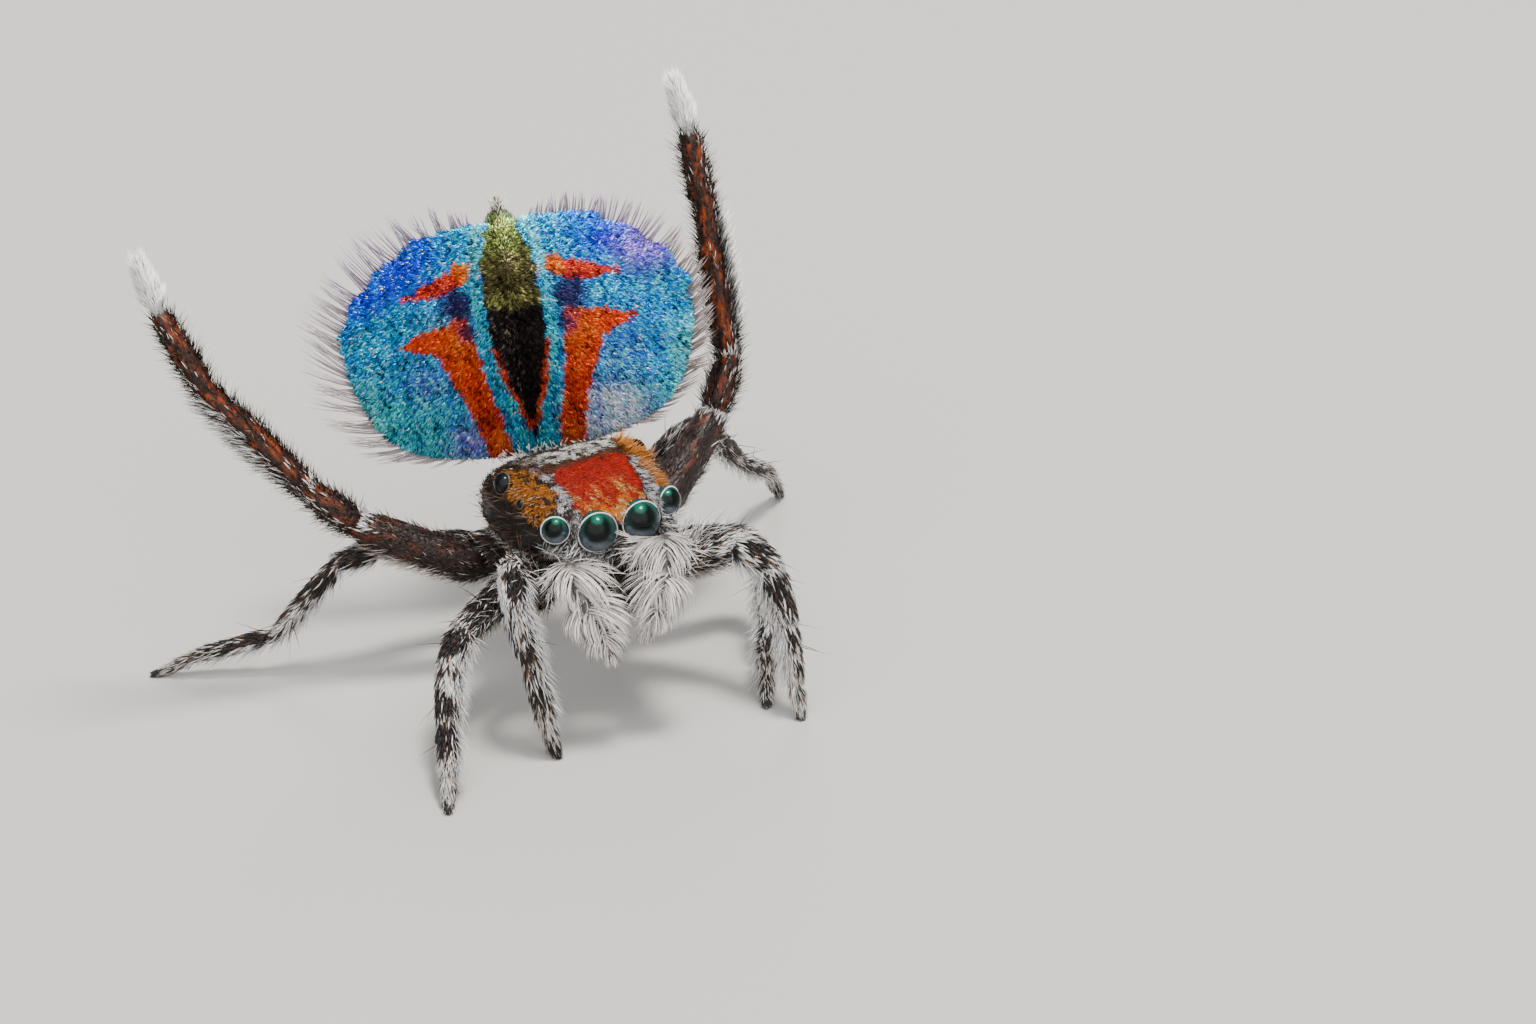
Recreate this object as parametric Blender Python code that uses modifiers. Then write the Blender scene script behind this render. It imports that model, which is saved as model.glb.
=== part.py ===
# A displaying peacock spider, life size: body, raised fan, eight legs, two palps and eight eyes.
# It faces -Y, its left side is +X, and it stands on the plane z = 0.

import math
import random

import bmesh
import bpy
import numpy as np
from mathutils import Matrix, Vector

# Lengths below are in millimetres. finish() turns each mesh into metres.
MM = 0.001
GAP = 0.024  # between sub-parts that meet
SIDES = 8  # of a leg's cross-section

# The head frame: its origin is midway between the two large front eyes
EYE_HEIGHT = 1.9
HEAD_ROLL = math.radians(3)

# Carapace stations: distance behind the front eyes, half width, top, bottom
CARAPACE = (
    (-0.02, 0.34, 0.09, -0.20),
    (0.03, 0.50, 0.17, -0.31),
    (0.20, 0.63, 0.23, -0.37),
    (0.55, 0.75, 0.26, -0.47),
    (0.95, 0.82, 0.27, -0.61),
    (1.30, 0.85, 0.25, -0.64),
    (1.60, 0.79, 0.13, -0.63),
    (1.85, 0.61, -0.06, -0.60),
    (2.05, 0.34, -0.22, -0.52),
    (2.12, 0.14, -0.30, -0.44),
)
CARAPACE_RINGS = 15
CARAPACE_SIDES = 24
CARAPACE_POWER = 3.2

# Sternum stations: distance behind the front eyes, half width, top, bottom
STERNUM = (
    (0.52, 0.12, -0.70, -0.78),
    (0.65, 0.25, -0.68, -0.86),
    (1.00, 0.41, -0.68, -0.93),
    (1.50, 0.41, -0.68, -0.93),
    (1.85, 0.25, -0.68, -0.88),
    (1.96, 0.12, -0.69, -0.80),
)

# Eyes: radius, and the centre on the left side in the head frame
EYES = {
    "anterior_median": (0.200, (0.225, 0.070, 0.000)),
    "anterior_lateral": (0.137, (0.585, 0.215, 0.045)),
    "posterior_median": (0.045, (0.705, 0.740, 0.100)),
    "posterior_lateral": (0.105, (0.690, 1.170, 0.120)),
}
SOCKET_GAP = 0.014

# Fan frame: it turns towards the viewer, leans back, and its top tips to the spider's right
FAN_BASE = (0.15, 2.25, 1.60)
FAN_YAW = math.radians(20)
FAN_LEAN = math.radians(10)
FAN_ROLL = math.radians(-8)

# Abdomen stations up the fan: height, half width, front, back
ABDOMEN = (
    (0.02, 0.10, 0.05, 0.26),
    (0.12, 0.24, -0.03, 0.40),
    (0.50, 0.40, -0.07, 0.66),
    (1.05, 0.47, -0.08, 0.82),
    (1.60, 0.45, -0.08, 0.78),
    (2.05, 0.31, -0.07, 0.58),
    (2.36, 0.16, -0.05, 0.36),
    (2.46, 0.08, -0.01, 0.22),
)
ABDOMEN_RINGS = 15
ABDOMEN_SIDES = 20
ABDOMEN_POWER = 2.5

# The flap's rim on one side, from the fan's top round to its foot: distance out, height
FLAP_RIM = (
    (0.27, 2.42),
    (0.60, 2.38),
    (0.92, 2.28),
    (1.22, 2.09),
    (1.48, 1.86),
    (1.64, 1.58),
    (1.68, 1.28),
    (1.62, 0.97),
    (1.50, 0.64),
    (1.27, 0.36),
    (0.98, 0.21),
    (0.65, 0.13),
    (0.36, 0.09),
)
FLAP_STEPS = 26
FLAP_ROWS = 6
FLAP_THICKNESS = 0.11
FLAP_CURL = 0.16  # how far the rim comes forward at its widest

# How far the fringe stands out on the right, by share of the rim from the fan's top to its foot
FRINGE_REACH = (
    (0.00, 0.04),
    (0.08, 0.20),
    (0.20, 0.33),
    (0.35, 0.42),
    (0.50, 0.46),
    (0.60, 0.50),
    (0.72, 0.46),
    (0.82, 0.28),
    (0.92, 0.10),
    (1.00, 0.02),
)
FRINGE_SHARE = {"right": 1.0, "left": 0.72}
FRINGE_LOCKS = 38
FRINGE_CLUSTER = 3  # neighbouring bristles whose tips draw together

# Legs: lengths and coated radii of coxa with trochanter, femur, patella, tibia, metatarsus, tarsus
LEG_LENGTHS = {
    "1": (0.30, 0.90, 0.42, 0.55, 0.57, 0.42),
    "2": (0.31, 1.00, 0.44, 0.66, 0.61, 0.44),
    "3": (0.46, 1.30, 0.55, 1.60, 0.92, 0.60),
    "4": (0.42, 1.02, 0.42, 0.95, 0.80, 0.46),
}
LEG_RADII = {
    "1": (0.130, 0.185, 0.175, 0.165, 0.135, 0.100),
    "2": (0.140, 0.190, 0.175, 0.165, 0.135, 0.100),
    "3": (0.140, 0.215, 0.175, 0.210, 0.190, 0.130),
    "4": (0.140, 0.150, 0.135, 0.120, 0.100, 0.080),
}
LEG_ROOT_Y = {"1": 0.78, "2": 1.10, "3": 1.42, "4": 1.75}
LEG_ROOT_Z = -0.815
LEG_ROOT_GAP = 0.035
FOOT_RADIUS = 0.05
FOOT_RUN = 0.17  # a standing tarsus is already slim this far from the floor

# Pose: heading from straight ahead, positive to the spider's left, and pitch above level, in degrees.
# A standing leg's tarsus takes the pitch that brings its foot to the floor.
POSE = {
    "1_right": ((-60, -15), (-47, 43), (-22, -28), (12, -60), (22, -72)),
    "1_left": ((60, -14), (45, 26), (28, -9), (7, -56), (-5, -67)),
    "2_right": ((-62, -6), (-54, -5), (-40, -15), (-27, -28), (-23, -30)),
    "2_left": ((92, -16), (90, -8), (14, -16), (-25, -30), (-27, -16)),
    "3_right": ((-88, -8), (-106, 26), (-104, 41), (-101, 50), (-109, 63), (-106, 71)),
    "3_left": ((90, 0), (121, 33), (112, 68), (-97, 82), (-93, 79), (-93, 75)),
    "4_right": ((-122, -12), (-88, 9), (-95, -8), (-98, -47), (-108, -14)),
    "4_left": ((105, -8), (112, 30), (120, -8), (125, -45), (128, -34)),
}
LEG_NODES = (("femur", 0, 2), ("tibia", 2, 4), ("tarsus", 4, 6))

# Bristles on a leg's node: how many, length, and lift off the leg in degrees
LEG_BRISTLES = {
    "3_femur": (10, 0.18, 44),
    "3_tibia": (26, 0.26, 46),
    "3_tarsus": (12, 0.24, 26),
    "1_femur": (5, 0.20, 45),
    "1_tibia": (7, 0.22, 40),
    "2_femur": (5, 0.20, 45),
    "2_tibia": (6, 0.20, 40),
    "4_tibia": (5, 0.18, 40),
}

# Palps in the head frame: centre line and coated radius, parted at the row after the arm
PALP = {
    "right": (
        (-0.36, 0.20, -0.52, 0.09),
        (-0.50, 0.02, -0.44, 0.12),
        (-0.62, -0.18, -0.26, 0.15),
        (-0.60, -0.36, -0.44, 0.25),
        (-0.48, -0.45, -0.72, 0.30),
        (-0.40, -0.47, -0.98, 0.23),
        (-0.38, -0.45, -1.13, 0.09),
    ),
    "left": (
        (0.38, 0.20, -0.54, 0.09),
        (0.42, 0.00, -0.44, 0.12),
        (0.35, -0.22, -0.20, 0.15),
        (0.27, -0.40, -0.36, 0.25),
        (0.16, -0.47, -0.60, 0.29),
        (0.05, -0.44, -0.86, 0.22),
        (0.01, -0.40, -1.02, 0.09),
    ),
}
PALP_ARM_ROWS = 2
PALP_STEPS = 2  # rings to each row
PALP_BODY = 0.80  # the club's own radius, as a share of the radius to its locks' tips
PALP_LOCKS = 26
BEARD_LOCKS = 7

# Chelicerae: centre line and radius on the left side
CHELICERA = (
    (0.160, 0.10, -0.42, 0.100),
    (0.165, 0.06, -0.56, 0.135),
    (0.165, 0.05, -0.74, 0.125),
    (0.155, 0.08, -0.92, 0.070),
)

COLOURS = {
    "carapace": ((0.10, 0.05, 0.03), 0.6),
    "flesh": ((0.12, 0.08, 0.06), 0.6),
    "leg": ((0.30, 0.27, 0.25), 0.7),
    "raised_leg": ((0.09, 0.05, 0.04), 0.6),
    "eye": ((0.01, 0.03, 0.02), 0.05),
    "flap": ((0.03, 0.25, 0.60), 0.4),
    "abdomen": ((0.16, 0.13, 0.06), 0.6),
    "palp": ((0.75, 0.73, 0.70), 0.8),
}


def clear_scene():
    for obj in list(bpy.data.objects):
        bpy.data.objects.remove(obj)


def material(name):
    colour, roughness = COLOURS[name]
    made = bpy.data.materials.get(name) or bpy.data.materials.new(name)
    made.use_nodes = True
    shader = made.node_tree.nodes["Principled BSDF"]
    shader.inputs["Base Color"].default_value = (*colour, 1)
    shader.inputs["Roughness"].default_value = roughness
    return made


# Shape helpers, all in millimetres


def resampled(rows, count):
    """A smooth curve through the rows, read at count even steps."""
    rows = np.array(rows, float)
    padded = np.vstack([2 * rows[0] - rows[1], rows, 2 * rows[-1] - rows[-2]])
    out = []
    for at in np.linspace(0, len(rows) - 1, count):
        i = min(int(at), len(rows) - 2)
        t = at - i
        a, b, c, d = padded[i : i + 4]
        square = 2 * a - 5 * b + 4 * c - d
        cube = 3 * b - a - 3 * c + d
        out.append(0.5 * (2 * b + (c - a) * t + square * t**2 + cube * t**3))
    return np.array(out)


def rounded_section(half_width, low, high, sides, power):
    """A superellipse: pairs of (across, between low and high)."""
    turn = np.linspace(0, 2 * math.pi, sides, endpoint=False)
    cos, sin = np.cos(turn), np.sin(turn)
    across = half_width * np.sign(cos) * np.abs(cos) ** (2 / power)
    along = (low + high) / 2 + (high - low) / 2 * np.sign(sin) * np.abs(sin) ** (2 / power)
    return across, along


def loft(rings):
    """A closed mesh through rings of equal count, with flat ends."""
    count = len(rings[0])
    mesh = bmesh.new()
    rows = [[mesh.verts.new(Vector(point)) for point in ring] for ring in rings]
    for lower, upper in zip(rows, rows[1:]):
        for i in range(count):
            j = (i + 1) % count
            mesh.faces.new((lower[i], lower[j], upper[j], upper[i]))
    mesh.faces.new(rows[0])
    mesh.faces.new(rows[-1])
    bmesh.ops.recalc_face_normals(mesh, faces=mesh.faces)
    return mesh


def tube_rings(points, radii, sides, start_normal=None, end_normal=None):
    """Rings square to a bent path, each turned as little as it can be from the last."""
    points = [Vector(p) for p in points]
    steps = [(b - a).normalized() for a, b in zip(points, points[1:])]
    tangents = [steps[0]] + [(a + b).normalized() for a, b in zip(steps, steps[1:])] + [steps[-1]]
    if start_normal is not None:
        tangents[0] = Vector(start_normal)
    if end_normal is not None:
        tangents[-1] = Vector(end_normal)
    side = tangents[0].orthogonal().normalized()
    rings = []
    for point, tangent, radius in zip(points, tangents, map(float, radii)):
        side = (side - tangent * side.dot(tangent)).normalized()
        other = tangent.cross(side)
        turns = [2 * math.pi * i / sides for i in range(sides)]
        rings.append([point + radius * (math.cos(t) * side + math.sin(t) * other) for t in turns])
    return rings, tangents


def parted(rings, tangents, first, last):
    """The rings from first to last, drawn in by half a gap where the tube goes on."""
    chosen = [list(ring) for ring in rings[first : last + 1]]
    if first > 0:
        chosen[0] = [point + tangents[first] * GAP / 2 for point in chosen[0]]
    if last < len(rings) - 1:
        chosen[-1] = [point - tangents[last] * GAP / 2 for point in chosen[-1]]
    return chosen


def lock(root, tip, bow, across, width, thickness):
    """A flat tapered lock of hair from its sunk root to its tip, bowed at the middle."""
    along = (tip - root).normalized()
    side = (across - along * across.dot(along)).normalized()
    flat = along.cross(side)
    mesh = bmesh.new()
    rows = []
    for point, share in ((root, 0.5), (root.lerp(tip, 0.5) + bow, 0.36)):
        corners = (side * width, flat * thickness, -side * width, -flat * thickness)
        rows.append([mesh.verts.new(point + corner * share) for corner in corners])
    end = mesh.verts.new(tip)
    mesh.faces.new(rows[0])
    for i in range(4):
        j = (i + 1) % 4
        mesh.faces.new((rows[0][i], rows[0][j], rows[1][j], rows[1][i]))
        mesh.faces.new((rows[1][i], rows[1][j], end))
    bmesh.ops.recalc_face_normals(mesh, faces=mesh.faces)
    return mesh


def lock_on_tube(points, radii, at, facing, length, lift, width, thickness):
    """A lock rooted in a tube's side. The place along the tube is counted in rings."""
    i = min(int(at), len(points) - 2)
    centre = points[i].lerp(points[i + 1], at - i)
    radius = float(radii[i] + (radii[i + 1] - radii[i]) * (at - i))
    along = (points[i + 1] - points[i]).normalized()
    out = (facing - along * facing.dot(along)).normalized()
    leaning = out * math.sin(lift) + along * math.cos(lift)
    root = centre + out * radius * 0.45
    tip = centre + out * radius * 0.9 + leaning * length
    return lock(root, tip, out * length * 0.1, along.cross(out), width, thickness)


def ball(radius, centre, coarse=False):
    mesh = bmesh.new()
    segments, rings = (8, 6) if coarse else (12, 9)
    bmesh.ops.create_uvsphere(mesh, u_segments=segments, v_segments=rings, radius=radius)
    bmesh.ops.translate(mesh, verts=mesh.verts, vec=Vector(centre))
    return mesh


# Objects


def loose_object(name, mesh):
    data = bpy.data.meshes.new(name)
    mesh.to_mesh(data)
    mesh.free()
    obj = bpy.data.objects.new(name, data)
    bpy.context.scene.collection.objects.link(obj)
    return obj


def combined(obj, meshes, operation):
    """The object joined with, or cut by, all the meshes in one Boolean."""
    pieces = bpy.data.collections.new("pieces")
    bpy.context.scene.collection.children.link(pieces)
    for mesh in meshes:
        piece = loose_object("piece", mesh)
        bpy.context.scene.collection.objects.unlink(piece)
        pieces.objects.link(piece)
    step = obj.modifiers.new("combined", "BOOLEAN")
    step.operation = operation
    step.operand_type = "COLLECTION"
    step.collection = pieces
    step.solver = "EXACT"
    bpy.context.view_layer.update()
    result = bpy.data.meshes.new_from_object(obj.evaluated_get(bpy.context.evaluated_depsgraph_get()))
    obj.modifiers.clear()
    obj.data = result
    for piece in list(pieces.objects):
        bpy.data.objects.remove(piece)
    bpy.data.collections.remove(pieces)
    return obj


def largest_surface(obj):
    """Keeps only the largest closed surface of the mesh."""
    mesh = bmesh.new()
    mesh.from_mesh(obj.data)
    left = set(mesh.verts)
    islands = []
    while left:
        edge = [left.pop()]
        island = set(edge)
        while edge:
            for link in edge.pop().link_edges:
                for vertex in link.verts:
                    if vertex in left:
                        left.discard(vertex)
                        island.add(vertex)
                        edge.append(vertex)
        islands.append(island)
    islands.sort(key=len)
    loose = [vertex for island in islands[:-1] for vertex in island]
    bmesh.ops.delete(mesh, geom=loose, context="VERTS")
    mesh.to_mesh(obj.data)
    mesh.free()
    return obj


def finish(obj, surface, parent, matrix=None):
    """Scales the mesh to metres, shades it, and puts it in its place."""
    obj.data.transform(Matrix.Scale(MM, 4))
    obj.data.materials.clear()
    obj.data.materials.append(material(surface))
    obj.data.shade_smooth()
    obj.data.set_sharp_from_angle(angle=math.radians(50))
    obj.parent = parent
    if matrix is not None:
        obj.matrix_local = matrix
    bpy.context.scene.collection.objects.unlink(obj)
    bpy.data.collections["peacock_spider"].objects.link(obj)
    return obj


def empty(name, parent, location, rotation):
    obj = bpy.data.objects.new(name, None)
    bpy.data.collections["peacock_spider"].objects.link(obj)
    obj.parent = parent
    obj.matrix_local = Matrix.Translation(Vector(location) * MM) @ rotation.to_4x4()
    return obj


def head_rotation():
    return Matrix.Rotation(-HEAD_ROLL, 3, "Y")


def head_to_stance(point):
    return head_rotation() @ Vector(point) + Vector((0, 0, EYE_HEIGHT))


def fan_rotation():
    """Columns: out to the left, back, and up the fan."""
    turned = Matrix.Rotation(-FAN_YAW, 3, "Z")
    leaning = Matrix.Rotation(-FAN_LEAN, 3, "X")
    tipped = Matrix.Rotation(FAN_ROLL, 3, "Y")
    return turned @ leaning @ tipped


# Body


def mirrored_place(place, side):
    return (place[0] if side == "left" else -place[0], *place[1:])


def beard():
    """Locks that hang from the front edge below the large eyes."""
    locks = []
    for i in range(BEARD_LOCKS):
        x = 0.24 * (2 * i / (BEARD_LOCKS - 1) - 1)
        root = Vector((x, 0.16, -0.24))
        tip = Vector((x * 1.1, -0.09 + 0.02 * (i % 2), -0.33 - 0.03 * (i % 2)))
        locks.append(lock(root, tip, Vector((0, -0.02, 0.02)), Vector((1, 0, 0)), 0.09, 0.06))
    return locks


def make_carapace(head):
    rings = []
    for y, half_width, top, bottom in resampled(CARAPACE, CARAPACE_RINGS):
        across, height = rounded_section(half_width, bottom, top, CARAPACE_SIDES, CARAPACE_POWER)
        rings.append([(x, y, z) for x, z in zip(across, height)])
    obj = loose_object("carapace", loft(rings))
    sockets = []
    for radius, place in EYES.values():
        for side in ("left", "right"):
            sockets.append(ball(radius + SOCKET_GAP, mirrored_place(place, side), radius < 0.06))
    combined(obj, sockets, "DIFFERENCE")
    combined(obj, beard(), "UNION")
    finish(largest_surface(obj), "carapace", head)


def make_eyes(head):
    for name, (radius, place) in EYES.items():
        for side in ("left", "right"):
            obj = loose_object(f"eye_{name}_{side}", ball(radius, (0, 0, 0), radius < 0.06))
            centre = Vector(mirrored_place(place, side)) * MM
            finish(obj, "eye", head, Matrix.Translation(centre))


def make_sternum(head):
    rings = []
    for y, half_width, top, bottom in resampled(STERNUM, 9):
        across, height = rounded_section(half_width, bottom, top, 12, 2.6)
        rings.append([(x, y, z) for x, z in zip(across, height)])
    finish(loose_object("sternum", loft(rings)), "flesh", head)


def make_chelicerae(head):
    for side in ("left", "right"):
        rows = resampled([mirrored_place(row, side) for row in CHELICERA], 7)
        rings, _ = tube_rings(rows[:, :3], rows[:, 3], SIDES)
        finish(loose_object(f"chelicera_{side}", loft(rings)), "flesh", head)


def palp_locks(side, points, radii, wrist, tip):
    """Locks all round the club in a spiral, shorter where they face the other palp."""
    locks = []
    for i in range(PALP_LOCKS):
        share = (i + 0.5) / PALP_LOCKS
        at = wrist + 0.9 + (tip - wrist - 1.6) * share
        turn = 2.4 * i
        facing = Vector((math.cos(turn), math.sin(turn), 0.2))
        lift = math.radians(48 - 26 * share)
        length = 0.15 if (facing.x < 0) == (side == "left") else 0.21
        locks.append(lock_on_tube(points, radii, at, facing, length, lift, 0.13, 0.06))
    return locks


def make_palps(head):
    for side in ("left", "right"):
        rows = resampled(PALP[side], (len(PALP[side]) - 1) * PALP_STEPS + 1)
        wrist, tip = PALP_ARM_ROWS * PALP_STEPS, len(rows) - 1
        points = [Vector(row[:3]) for row in rows]
        radii = [row[3] * (PALP_BODY if i > wrist else 1) for i, row in enumerate(rows)]
        rings, tangents = tube_rings(points, radii, 12)
        arm = loose_object(f"palp_arm_{side}", loft(parted(rings, tangents, 0, wrist)))
        finish(arm, "palp", head)
        club = loose_object(f"palp_club_{side}", loft(parted(rings, tangents, wrist, tip)))
        combined(club, palp_locks(side, points, radii, wrist, tip), "UNION")
        finish(largest_surface(club), "palp", head)


# Fan


def abdomen_at(height):
    """Half width, front and back of the abdomen at this height."""
    rows = resampled(ABDOMEN, 60)
    return [np.interp(height, rows[:, 0], rows[:, i]) for i in (1, 2, 3)]


def abdomen_side(height, depth):
    half_width, front, back = abdomen_at(height)
    off = abs(depth - (front + back) / 2) / ((back - front) / 2)
    return half_width * max(0.0, 1 - min(off, 1) ** ABDOMEN_POWER) ** (1 / ABDOMEN_POWER)


def make_abdomen(fan):
    rings = []
    for height, half_width, front, back in resampled(ABDOMEN, ABDOMEN_RINGS):
        across, depth = rounded_section(half_width, front, back, ABDOMEN_SIDES, ABDOMEN_POWER)
        rings.append([(x, y, height) for x, y in zip(across, depth)])
    finish(loose_object("abdomen", loft(rings)), "abdomen", fan)


def fringe_reach(side, share):
    places, lengths = zip(*FRINGE_REACH)
    return np.interp(share, places, lengths) * FRINGE_SHARE[side]


def flap_grid(side, reach):
    """Points from the abdomen's side out to the rim and beyond it by a share of the fringe."""
    sign = 1 if side == "left" else -1
    rim = resampled(FLAP_RIM, FLAP_STEPS)
    centre = np.array((0.0, 1.25))
    grid = []
    for i, (out, height) in enumerate(rim):
        away = np.array((out, height)) - centre
        away = away / np.linalg.norm(away)
        end = np.array((out, height)) + away * reach * fringe_reach(side, i / (FLAP_STEPS - 1))
        start_height = np.clip(1.25 + (height - 1.25) * 0.96, 0.12, 2.36)
        start = np.array((abdomen_side(start_height, FLAP_THICKNESS / 2) + GAP * 1.3, start_height))
        row = []
        for share in np.linspace(0, 1, FLAP_ROWS):
            x, z = start + (end - start) * share
            row.append((sign * x, -FLAP_CURL * (x / 1.68) ** 2, z))
        grid.append(row)
    return grid


def fringe(side):
    """Bristles that stand out round the rim, in small clusters."""
    sign = 1 if side == "left" else -1
    chance = random.Random(7 if side == "left" else 8)
    rim = resampled(FLAP_RIM, 200)
    locks = []
    for i in range(FRINGE_LOCKS):
        share = 0.05 + 0.85 * (i + chance.uniform(0.2, 0.8)) / FRINGE_LOCKS
        reach = fringe_reach(side, share) * chance.uniform(0.86, 1.12)
        out, height = rim[int(share * 199)]
        away = Vector((out, 0, height - 1.25)).normalized()
        round_rim = Vector((away.z, 0, -away.x))
        sweep = 0.035 * (1 - i % FRINGE_CLUSTER)
        root = Vector((out, -FLAP_CURL * (out / 1.68) ** 2, height)) - away * 0.09
        tip = root + away * (reach + 0.09) + round_rim * sweep
        tip.y -= 0.16 * reach + chance.uniform(-0.03, 0.03)
        ends = [Vector((sign * p.x, p.y, p.z)) for p in (root, tip)]
        across = Vector((sign * round_rim.x, 0, round_rim.z))
        locks.append(lock(*ends, Vector((0, 0, 0.02)), across, 0.10, 0.07))
    return locks


def make_flaps(fan):
    for side in ("left", "right"):
        grid = flap_grid(side, 0.0)
        mesh = bmesh.new()
        rows = [[mesh.verts.new(Vector(point)) for point in row] for row in grid]
        for lower, upper in zip(rows, rows[1:]):
            for i in range(FLAP_ROWS - 1):
                mesh.faces.new((lower[i], lower[i + 1], upper[i + 1]))
                mesh.faces.new((lower[i], upper[i + 1], upper[i]))
        bmesh.ops.recalc_face_normals(mesh, faces=mesh.faces)
        obj = loose_object(f"flap_{side}", mesh)
        plate = obj.modifiers.new("thickness", "SOLIDIFY")
        plate.thickness = FLAP_THICKNESS
        plate.offset = 0
        bpy.context.view_layer.update()
        evaluated = obj.evaluated_get(bpy.context.evaluated_depsgraph_get())
        obj.data = bpy.data.meshes.new_from_object(evaluated)
        obj.modifiers.clear()
        combined(obj, fringe(side), "UNION")
        finish(largest_surface(obj), "flap", fan)


def make_spinnerets(fan):
    rows = ((0.0, 0.11, 2.49, 0.06), (0.0, 0.10, 2.56, 0.07), (0.0, 0.09, 2.66, 0.03))
    rings, _ = tube_rings([row[:3] for row in rows], [row[3] for row in rows], 8)
    finish(loose_object("spinnerets", loft(rings)), "palp", fan)


def make_pedicel(stance):
    """A short bent stalk from the carapace's hind face to the foot of the abdomen."""
    start = head_to_stance((0.0, CARAPACE[-1][0] + GAP, -0.37))
    end = Vector(FAN_BASE) + fan_rotation() @ Vector((0.0, 0.155, ABDOMEN[0][0] - GAP))
    up_fan = fan_rotation() @ Vector((0, 0, 1))
    middle = start.lerp(end, 0.55) - up_fan * 0.06
    rings, _ = tube_rings([start, middle, end], [0.055, 0.055, 0.055], 8, (0, 1, 0), up_fan)
    finish(loose_object("pedicel", loft(rings)), "flesh", stance)


# Legs


def direction(heading, pitch):
    heading, pitch = math.radians(heading), math.radians(pitch)
    flat = Vector((math.sin(heading), -math.cos(heading), 0))
    return flat * math.cos(pitch) + Vector((0, 0, math.sin(pitch)))


def leg_root(pair, side):
    rows = resampled(STERNUM, 40)
    y = LEG_ROOT_Y[pair]
    x = np.interp(y, rows[:, 0], rows[:, 1]) + LEG_ROOT_GAP
    return head_to_stance(mirrored_place((x, y, LEG_ROOT_Z), side))


def leg_joints(pair, side):
    """The leg's joints from root to tip. A standing leg ends on the floor."""
    joints = [leg_root(pair, side)]
    turns = POSE[f"{pair}_{side}"]
    for i, length in enumerate(LEG_LENGTHS[pair]):
        if i < len(turns):
            heading, pitch = turns[i]
        else:
            heading = turns[-1][0]
            pitch = -math.degrees(math.asin(min(1.0, joints[-1].z / length)))
        joints.append(joints[-1] + direction(heading, pitch) * length)
    return joints


def leg_stations(pair, joints):
    """Points and radii along the whole leg, and which station each joint is."""
    radii = LEG_RADII[pair]
    stands = abs(joints[-1].z) < 0.01
    points, widths, at_joint = [joints[0]], [radii[0] * 0.8], [0]
    for i, radius in enumerate(radii):
        start, end = joints[i], joints[i + 1]
        length = (end - start).length
        neck = min(radius * 0.75, length * 0.3)
        last = i == len(radii) - 1
        far = FOOT_RUN if last and stands else neck
        for distance, share in ((neck, 0.95), (length * 0.45, 1.0), (length - far, 0.7 if last else 0.9)):
            points.append(start.lerp(end, distance / length))
            widths.append(radius * share)
        points.append(end)
        if last:
            widths.append(FOOT_RADIUS if stands else radius * 0.45)
        else:
            widths.append(min(radius, radii[i + 1]) * 0.86)
        at_joint.append(len(points) - 1)
    return points, widths, at_joint


def leg_bristles(node, side, points, widths, low, high):
    """Bristles round a leg's node. They lean towards the foot and keep clear of the joints."""
    count, length, lift = LEG_BRISTLES.get(node, (0, 0, 0))
    chance = random.Random(f"{node}_{side}")
    first = low + (5.5 if node.endswith("femur") else 1.0)
    last = high - (0.3 if node.endswith("tarsus") else 1.6)
    steps = [(b - a).length for a, b in zip(points, points[1:])]
    run = np.concatenate([[0], np.cumsum(steps)])
    start, end = np.interp([first, last], range(len(run)), run)
    along = (points[high] - points[low]).normalized()
    side_way = along.orthogonal().normalized()
    other_way = along.cross(side_way)
    bristles = []
    for i in range(count):
        at = float(np.interp(start + (end - start) * (i + 0.5) / count, run, range(len(run))))
        turn = 2.4 * i + chance.uniform(-0.3, 0.3)
        facing = side_way * math.cos(turn) + other_way * math.sin(turn)
        long = length * chance.uniform(0.8, 1.15)
        bristles.append(lock_on_tube(points, widths, at, facing, long, math.radians(lift), 0.07, 0.06))
    return bristles


def make_legs(stance):
    for key in POSE:
        pair, side = key.split("_")
        joints = leg_joints(pair, side)
        points, widths, at_joint = leg_stations(pair, joints)
        down = (0, 0, -1) if abs(joints[-1].z) < 0.01 else None
        rings, tangents = tube_rings(points, widths, SIDES, end_normal=down)
        surface = "raised_leg" if pair == "3" else "leg"
        for part, first, last in LEG_NODES:
            low, high = at_joint[first], at_joint[last]
            obj = loose_object(f"leg_{pair}_{part}_{side}", loft(parted(rings, tangents, low, high)))
            bristles = leg_bristles(f"{pair}_{part}", side, points, widths, low, high)
            if bristles:
                largest_surface(combined(obj, bristles, "UNION"))
            finish(obj, surface, stance)


def centre_on_origin(stance):
    """Moves the whole stance so that its box is centred on the origin, with the feet at z = 0."""
    bpy.context.view_layer.update()
    corners = []
    for obj in bpy.data.collections["peacock_spider"].objects:
        if obj.type == "MESH":
            corners += [obj.matrix_world @ vertex.co for vertex in obj.data.vertices]
    spots = np.array(corners)
    middle = (spots.min(axis=0) + spots.max(axis=0)) / 2
    stance.location = (-middle[0], -middle[1], -spots[:, 2].min())


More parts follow.
